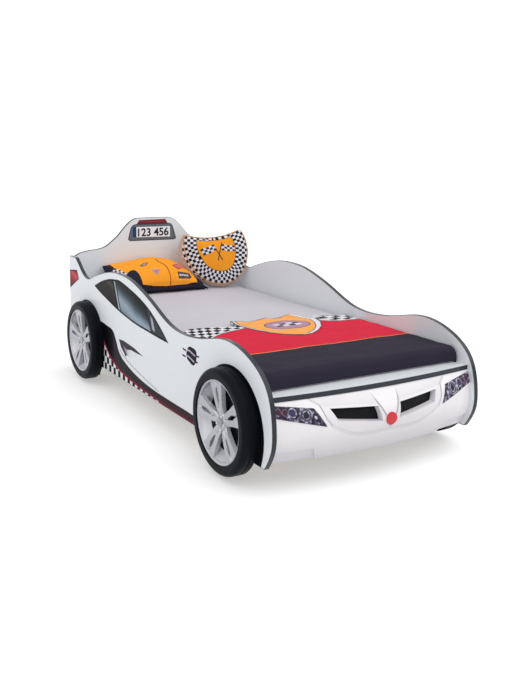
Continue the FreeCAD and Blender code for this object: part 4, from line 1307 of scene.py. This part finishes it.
class CARBED_OT_coverlet(Operator):
    """Quilted cover with its badge"""
    bl_idname = "carbed.coverlet"
    bl_label = "Coverlet"

    def execute(self, context):
        colours, bedding = context.scene.carbed_colours, context.scene.carbed_bedding
        points, faces = coverlet_sheet(5.5 * MM)
        cloth = coverlet_cotton(colours, bedding.coverlet_checker)
        piece = new_piece("coverlet_quilt", points, faces, [cloth])
        wadding = piece.modifiers.new("wadding", "SOLIDIFY")
        wadding.thickness = bedding.coverlet_thickness
        wadding.offset = -1
        made_plain(piece)
        settled(piece, "bedding", ("coverlet",))

        badge = film("coverlet_badge", badge_layers(colours.orange),
                     lambda x, y, depth: coverlet_point(x * MM, y * MM) + Vector((0, 0, depth)),
                     1.2 * MM, 0.8 * MM, infill=8)
        settled(badge, "bedding")
        return {"FINISHED"}


PILLOW_SLOPE = math.radians(32)
# where the orange of the pillow begins, as (place along the pillow, place up its slope) in millimetres
ORANGE_EDGE = [(-350, 350), (-284, 320), (-279, 204), (-262, 168), (-243, 134), (-232, 141), (-211, 154),
               (-195, 153), (-186, 142), (-179, 122), (-175, 92), (-173, 56), (-100, 50), (-31, 47),
               (100, 50), (158, 56), (162, 110), (172, 320), (240, 350)]
LOZENGE = [(-153, 180), (-120, 198), (-94, 199), (-117, 175), (-143, 168)]
ARROW = [(-101, 137), (-49, 133), (-60, 114), (-82, 94), (-97, 118)]
DIAMOND = [(34, 161), (84, 190), (140, 164), (58, 130)]
LABEL = [(47, 111), (125, 113), (130, 85), (114, 70), (43, 70)]
# metres above the pillow's back from which a patch falls, and how far it falls where it misses
PILLOW_DROP_START, PILLOW_DROP_MISS = 0.3, 0.25
PILLOW_SEAM = [(-42, 228), (-35, 200), (-26, 182), (-10, 161), (-4, 124), (-5, 85), (-11, 44)]


def pillow_cotton(colours, place):
    """Orange middle, with navy ends and a navy band in front."""
    cloth = Finish("pillow cotton", colours.orange, 0.75, Specular_IOR_Level=0.2)
    u, v, _ = cloth.axes(cloth.local(place))
    edge = cloth.graph(u, [(x * MM, y * MM) for x, y in ORANGE_EDGE])
    paint = cloth.mix(cloth.above(v, edge), colours.navy, colours.orange)
    shaded(cloth, paint, 18.0, 0.12, 0.3)
    woven(cloth)
    return cloth


def patch_layers():
    """The pillow's patches, from the lowest to the topmost, as ORANGE_EDGE gives places."""
    dark = cotton("patch dark cotton", screen(52, 48, 60))
    grey = cotton("patch grey cotton", screen(168, 160, 158))
    red = cotton("patch red cotton", screen(176, 60, 66))
    rose = cotton("patch rose cotton", screen(206, 110, 112))
    pale = cotton("patch pale cotton", screen(226, 222, 226))
    layers = [(LOZENGE, dark), (inset(LOZENGE, 5), grey), (ARROW, grey), (inset(ARROW, 7), rose),
              (DIAMOND, red), (inset(DIAMOND, 8), rose), (LABEL, dark)]
    layers += [([(54 + 12 * i, 84), (61 + 12 * i, 84), (61 + 12 * i, 96), (54 + 12 * i, 96)], pale)
               for i in range(5)]
    start, along, across = (Vector(step) for step in ((-277, 206), (6.4, -12.4), (-11.5, -6.0)))
    return layers + checkered(6, 2, lambda i, j: start + along * i + across * j, pale, dark)


class CARBED_OT_pillow(Operator):
    """Head pillow with its patches"""
    bl_idname = "carbed.pillow"
    bl_label = "Pillow"

    def execute(self, context):
        colours, bedding = context.scene.carbed_colours, context.scene.carbed_bedding
        place = Matrix.Translation((0, PILLOW_LOW.y, PILLOW_LOW.z)) @ Matrix.Rotation(PILLOW_SLOPE, 4, "X")
        cloth = pillow_cotton(colours, place)
        piece = like_node("head_pillow_cover", "pillow", cloth)
        stuffed(piece, bedding.voxel, bedding.pressure, 7 * MM, 11 * MM)
        floor, wall = MATTRESS_HIGH.z + 0.6 * MM, HEADBOARD_FACE - 0.6 * MM
        middle = -57 * MM

        def settle(co):
            x = middle + (co.x - middle) * 0.94 if co.x < middle else co.x
            lip = max(0.0, 1 - (co.y - PILLOW_LOW.y) / 0.07)
            z = floor + (co.z - floor) * 0.95 + 9 * MM * lip
            return Vector((x, min(co.y + 16 * MM * lip, wall), max(z, floor)))

        moved_points(piece, settle)
        smoothed(piece)
        settled(piece, "head_pillow", ("pillow",))

        tree = ground(piece)
        outward = place.to_3x3() @ Vector((0, 0, 1))

        def on_pillow(u, v, depth):
            start = place @ Vector((u * MM, v * MM, PILLOW_DROP_START))
            hit, normal, _, _ = tree.ray_cast(start, -outward)
            return (hit if hit else start - outward * PILLOW_DROP_MISS) + outward * depth

        seam = cord_trim("pillow_seam", [on_pillow(u, v, 0.0004) for u, v in flowing(PILLOW_SEAM, 5)],
                         2.4 * MM, Finish("pillow seam cord", screen(150, 52, 34), 0.7), closed=False)
        settled(seam, "head_pillow")
        patches = film("pillow_patches", patch_layers(), on_pillow, 0.9 * MM, 0.2 * MM, infill=10)
        settled(patches, "head_pillow")
        return {"FINISHED"}


CUSHION_TURN = (-9.4, -9.0, -25.0)
CUSHION_XY = (297.2, 846.0)
# turning points of the cushion's outline and of its smaller face, clockwise from the top left corner
CUSHION_OUTLINE = [(-158, 148), (0, 126), (158, 148), (174, 52), (136, -45), (82, -117), (0, -150),
                   (-82, -117), (-136, -45), (-174, 52)]
CUSHION_FACE = [(-142, 170), (16, 130), (172, 152), (196, 44), (170, -54), (109, -120), (14, -134),
                (-84, -84), (-138, 6), (-156, 96)]
CUSHION_BELLY = [(-152, 166), (5, 128), (166, 148), (190, 46), (168, -54), (112, -126), (18, -154),
                 (-86, -114), (-162, -38), (-196, 72)]
CUSHION_HALF = 23
# half the cushion's depth at its piping, and how its faces rise from there, in millimetres
EDGE_HALF, CROWN = 21, 22
CROWN_SHARES = [1.0, 0.985, 0.95, 0.88, 0.78, 0.66, 0.52, 0.38, 0.24, 0.1]
FACE_MIDDLE = (12, 20)
FULL_MIDDLE = (0, 10)
# each flag's pole and its cloth's corners, in (x, z) millimetres on the face
FLAGS = [([(6, 86), (44, -6)], [(-72, 71), (8, 89), (20, 55), (-56, 34)]),
         ([(54, 92), (18, -4)], [(52, 82), (124, 62), (122, 30), (48, 48)])]
FLAG_WAVE = 2.5
# metres before the cushion's middle from which a flag falls, and how far it falls where it misses
FLAG_DROP_START, FLAG_DROP_MISS = 0.2, 0.15


def shield(points, steps=14):
    """A shield's outline in (x, z) millimetres, as arcs through its turning points."""
    line = []
    for first in range(0, len(points), 2):
        line += arc(points[first], points[first + 1], points[(first + 2) % len(points)], steps)[:-1]
    return line


def cushion_place():
    roll, lean, turn = (math.radians(angle) for angle in CUSHION_TURN)
    turned = Matrix.Rotation(turn, 4, "Z") @ Matrix.Rotation(lean, 4, "X") @ Matrix.Rotation(roll, 4, "Y")
    corners = (Vector((x, y, z)) * MM for x, z in shield(CUSHION_OUTLINE)
               for y in (-CUSHION_HALF, CUSHION_HALF))
    lowest = min((turned @ corner).z for corner in corners)
    spot = Vector((CUSHION_XY[0] * MM, CUSHION_XY[1] * MM, CUSHION_LOW.z - lowest))
    return Matrix.Translation(spot) @ turned


def cushion_shell(place, face, belly, full):
    """Points and faces of the cushion: a crowned smaller face, a gusset and a crowned larger back."""
    bowed = [(share, EDGE_HALF + CROWN * (1 - share ** 2.2)) for share in CROWN_SHARES]
    layers = [(face, FACE_MIDDLE, share, -depth) for share, depth in reversed(bowed)]
    layers += [(belly, FACE_MIDDLE, 0.985, -11), (belly, FACE_MIDDLE, 1.0, 2),
               (full, FULL_MIDDLE, 1.02, 14)]
    layers += [(full, FULL_MIDDLE, 0.985 * share, depth) for share, depth in bowed]
    points = [place @ Vector(((cx + (x - cx) * share) * MM, depth * MM, (cz + (z - cz) * share) * MM))
              for outline, (cx, cz), share, depth in layers for x, z in outline]
    count = len(full)
    faces = ring_faces(len(layers), count)
    faces.append(tuple(range(count)))
    faces.append(tuple(reversed(range((len(layers) - 1) * count, len(layers) * count))))
    return points, faces


def cushion_plush(colours, size, rows):
    """Orange field in a checkered border, which the distances of border_distances place."""
    cloth = Finish("cushion plush", colours.orange, 0.8, Specular_IOR_Level=0.2)
    along, inner, below_top, gusset = (cloth.node("Attribute", output="Fac", attribute_name=name)
                                       for name in ("along", "inner", "below_top", "gusset"))
    checks = cloth.checks(along, inner, size, screen(28, 27, 34), screen(232, 230, 236))
    field = cloth.math("MINIMUM", cloth.math("SUBTRACT", inner, size * rows),
                       cloth.math("SUBTRACT", below_top, 1.1 * size))
    paint = cloth.mix(cloth.above(field, 0.0), checks, screen(70, 40, 30))
    paint = cloth.mix(cloth.above(field, 0.0025), paint, colours.orange)
    paint = cloth.mix(cloth.above(gusset, 0.0), paint, colours.gusset)
    shaded(cloth, paint, 22.0, 0.12, 0.3)
    woven(cloth, 0.0014, 0.00022)
    return cloth


def border_distances(flat, face, full):
    """Each point's place along the nearest outline, and its distances from that and from the top."""
    on_face = flat[:, 1] < 0
    values = {name: np.zeros(len(flat)) for name in ("along", "inner", "below_top")}
    top_spans = len(face) // 5
    for outline, chosen in ((face, on_face), (full, ~on_face)):
        line = np.array(outline) * MM
        reach = np.roll(line, -1, axis=0) - line
        spans = np.linalg.norm(reach, axis=1)
        starts = np.concatenate(([0], np.cumsum(spans)[:-1]))
        offset = flat[chosen][:, None, (0, 2)] - line[None]
        share = np.clip((offset * reach).sum(2) / spans ** 2, 0, 1)
        gap = np.linalg.norm(offset - share[:, :, None] * reach, axis=2)
        nearest = gap[:, top_spans:].argmin(axis=1) + top_spans
        rows = np.arange(len(gap))
        values["along"][chosen] = starts[nearest] + share[rows, nearest] * spans[nearest]
        values["inner"][chosen] = gap[rows, nearest]
        values["below_top"][chosen] = gap[:, :top_spans].min(axis=1)
    values["gusset"] = (EDGE_HALF - 1) * MM - np.abs(flat[:, 1])
    return values


def piping_line(tree, seam, radius, floor):
    """The seam laid on the filled cushion, smoothed, and kept over the sheet."""
    line = [hit + normal * 0.6 * radius for hit, normal, _, _ in map(tree.find_nearest, seam)]
    for _ in range(2):
        line = [(before + 2 * here + after) / 4
                for before, here, after in zip(line[-1:] + line, line, line[1:] + line[:1])]
    return [Vector((p.x, p.y, max(p.z, floor + radius))) for p in line]


def flag_layers():
    """Two crossed flags on their poles, in (x, z) millimetres on the face."""
    black = cotton("flag black cotton", screen(30, 28, 34))
    white = cotton("flag white cotton", screen(230, 228, 234))
    layers = []
    for pole, corners in FLAGS:
        high_left, high_right, low_right, low_left = (Vector(corner) for corner in corners)

        def on_flag(i, j):
            spot = high_left.lerp(high_right, i / 5).lerp(low_left.lerp(low_right, i / 5), j / 3)
            return spot + Vector((0, FLAG_WAVE * math.sin(1.9 * i)))

        layers.append((ribbon(pole, 5), black))
        layers += checkered(5, 3, on_flag, white, black)
    return layers


class CARBED_OT_cushion(Operator):
    """Shield cushion with its piping and flags"""
    bl_idname = "carbed.cushion"
    bl_label = "Cushion"

    def execute(self, context):
        colours, bedding = context.scene.carbed_colours, context.scene.carbed_bedding
        place = cushion_place()
        back = place.inverted()
        face, belly, full = shield(CUSHION_FACE), shield(CUSHION_BELLY), shield(CUSHION_OUTLINE)
        points, faces = cushion_shell(place, face, belly, full)
        cloth = cushion_plush(colours, bedding.cushion_checker, bedding.cushion_rows)
        piece = faced_outwards(new_piece("shield_cushion_cover", points, faces, [cloth]))
        stuffed(piece, bedding.voxel, bedding.pressure, 2 * MM, 5 * MM)
        stretched(piece, place, *spread([back @ point for point in points]))
        floor, wall = MATTRESS_HIGH.z + 0.6 * MM, PANEL_IN - 3 * MM
        shift = floor - min(v.co.z for v in piece.data.vertices) - 2 * MM
        moved_points(piece, lambda co: Vector((min(co.x, wall), co.y, max(co.z + shift, floor))))
        flat = np.array([back @ v.co for v in piece.data.vertices])
        for name, data in border_distances(flat, face, full).items():
            piece.data.attributes.new(name, "FLOAT", "POINT").data.foreach_set("value", data)
        smoothed(piece)
        settled(piece, "corner_cushion", ("shield_cushion",))

        tree = ground(piece)
        outward = place.to_3x3() @ Vector((0, -1, 0))

        def on_cushion(u, v, depth):
            start = place @ Vector((u * MM, -FLAG_DROP_START, v * MM))
            hit, _, _, _ = tree.ray_cast(start, -outward)
            return (hit if hit else start - outward * FLAG_DROP_MISS) + outward * depth

        trim = Finish("piping cord", screen(214, 160, 92), 0.7)
        trim.paint(trim.mix(trim.span(trim.noise(40.0), 0.3, 0.7), trim.colour, screen(190, 130, 70)))
        woven(trim)
        for name, side, outline in (("front", -1, face), ("back", 1, full)):
            seam = [place @ Vector((x * MM, side * (EDGE_HALF - 2) * MM, z * MM)) for x, z in outline]
            piping = cord_trim("cushion_piping_" + name, piping_line(tree, seam, bedding.piping, floor),
                               bedding.piping, trim)
            settled(piping, "corner_cushion")
        flags = film("cushion_flags", flag_layers(), on_cushion, 0.8 * MM, 0.2 * MM, infill=9)
        settled(flags, "corner_cushion")
        return {"FINISHED"}


# ---- stage ----
EYE = Vector((-1.9366, -3.2170, 1.2063))
EYE_YAW, EYE_PITCH, EYE_ROLL = (math.radians(angle) for angle in (31.152, 9.689, 0.777))
PHOTO_WIDTH, PHOTO_HEIGHT = 525, 700
FOCAL_PIXELS = 824.01
CENTRE_PIXEL = (247.6, 286.87)
SENSOR = 36.0
KEY_FROM, FILL_FROM = (0.42, -0.4, 0.81), (-0.8, -0.2, 0.56)
SOFTNESS = math.radians(70)
FLOOR_HALF = 30.0


def backdrop(strength):
    """Even light from all round, on white wherever it is seen."""
    world = bpy.data.worlds.new("studio")
    world.use_nodes = True
    bpy.context.scene.world = world
    light = Shading(world.node_tree)
    background = light.nodes["Background"]
    light.feed(background.inputs["Color"], (1, 1, 1, 1))
    light.feed(background.inputs["Strength"], light.span(light.seen(), 0.0, 1.0, strength, 1.0))


def sun(name, energy, direction, shadow=True):
    light = bpy.data.lights.new(name, "SUN")
    light.energy = energy
    light.angle = SOFTNESS
    light.use_shadow = shadow
    added(name, light).rotation_euler = Vector(direction).to_track_quat("Z", "Y").to_euler()


def pale_floor(colour, lift):
    """A floor that gives off a little light where it is seen."""
    mesh = bpy.data.meshes.new("floor")
    corners = [(x * FLOOR_HALF, y * FLOOR_HALF, 0) for x, y in ((-1, -1), (1, -1), (1, 1), (-1, 1))]
    mesh.from_pydata(corners, [], [(0, 1, 2, 3)])
    paint = Finish("floor", colour, 0.9, Specular_IOR_Level=0.0, Emission_Color=(1.0, 1.0, 1.0))
    worn = paint.span(paint.noise(1.2, 2.0), 0.3, 0.7, 0.0, 0.3)
    paint.paint(paint.mix(worn, colour, tuple(c * 0.98 for c in colour)))
    paint.feed(paint.shader.inputs["Emission Strength"], paint.math("MULTIPLY", paint.seen(), lift))
    mesh.materials.append(paint.material)
    return added("floor", mesh)


def photo_camera():
    """The camera that was fitted to the photo."""
    forward = Vector((math.sin(EYE_YAW) * math.cos(EYE_PITCH), math.cos(EYE_YAW) * math.cos(EYE_PITCH),
                      -math.sin(EYE_PITCH)))
    right = Vector((math.cos(EYE_YAW), -math.sin(EYE_YAW), 0))
    up = right.cross(forward)
    across = right * math.cos(EYE_ROLL) + up * math.sin(EYE_ROLL)
    upward = up * math.cos(EYE_ROLL) - right * math.sin(EYE_ROLL)
    lens = bpy.data.cameras.new("camera")
    lens.sensor_width = SENSOR
    lens.sensor_fit = "AUTO"
    lens.lens = FOCAL_PIXELS * SENSOR / PHOTO_HEIGHT
    lens.shift_x = (PHOTO_WIDTH / 2 - CENTRE_PIXEL[0]) / PHOTO_HEIGHT
    lens.shift_y = (CENTRE_PIXEL[1] - PHOTO_HEIGHT / 2) / PHOTO_HEIGHT
    lens.clip_end = 200
    camera = added("camera", lens)
    camera.matrix_world = Matrix((
        (across.x, upward.x, -forward.x, EYE.x), (across.y, upward.y, -forward.y, EYE.y),
        (across.z, upward.z, -forward.z, EYE.z), (0, 0, 0, 1)))
    return camera


class CARBED_OT_stage(Operator):
    """Floor, light and camera"""
    bl_idname = "carbed.stage"
    bl_label = "Stage"

    def execute(self, context):
        scene, stage = context.scene, context.scene.carbed_stage
        scene.view_settings.view_transform = "Standard"
        backdrop(stage.world_light)
        sun("key", stage.key_light, KEY_FROM)
        sun("fill", stage.fill_light, FILL_FROM, shadow=False)
        pale_floor(stage.floor, stage.floor_lift)
        scene.camera = photo_camera()
        return {"FINISHED"}


# ---- the panel and the script's run ----
STEPS = (CARBED_OT_boards, CARBED_OT_base, CARBED_OT_side_prints, CARBED_OT_head_print, CARBED_OT_bumper,
         CARBED_OT_wheels, CARBED_OT_mattress, CARBED_OT_coverlet, CARBED_OT_pillow, CARBED_OT_cushion,
         CARBED_OT_stage)
GROUPS = {"carbed_colours": CarBedColours, "carbed_prints": CarBedPrints, "carbed_bedding": CarBedBedding,
          "carbed_stage": CarBedStage}


class CARBED_PT_parts(Panel):
    """The bed's pieces, in the order in which they are made"""
    bl_idname = "CARBED_PT_parts"
    bl_label = "Car Bed"
    bl_space_type = "VIEW_3D"
    bl_region_type = "UI"
    bl_category = "Car Bed"

    def draw(self, context):
        for group_name, group in GROUPS.items():
            box = self.layout.box()
            for name in group.__annotations__:
                box.prop(getattr(context.scene, group_name), name)
        for step in STEPS:
            self.layout.operator(step.bl_idname)


def register():
    for kind in (*GROUPS.values(), *STEPS, CARBED_PT_parts):
        bpy.utils.register_class(kind)
    for name, group in GROUPS.items():
        setattr(bpy.types.Scene, name, PointerProperty(type=group))


def unregister():
    for name in GROUPS:
        delattr(bpy.types.Scene, name)
    for kind in reversed((*GROUPS.values(), *STEPS, CARBED_PT_parts)):
        bpy.utils.unregister_class(kind)


def main():
    register()
    for step in STEPS:
        family, name = step.bl_idname.split(".")
        getattr(getattr(bpy.ops, family), name)()


if __name__ == "__main__":
    main()
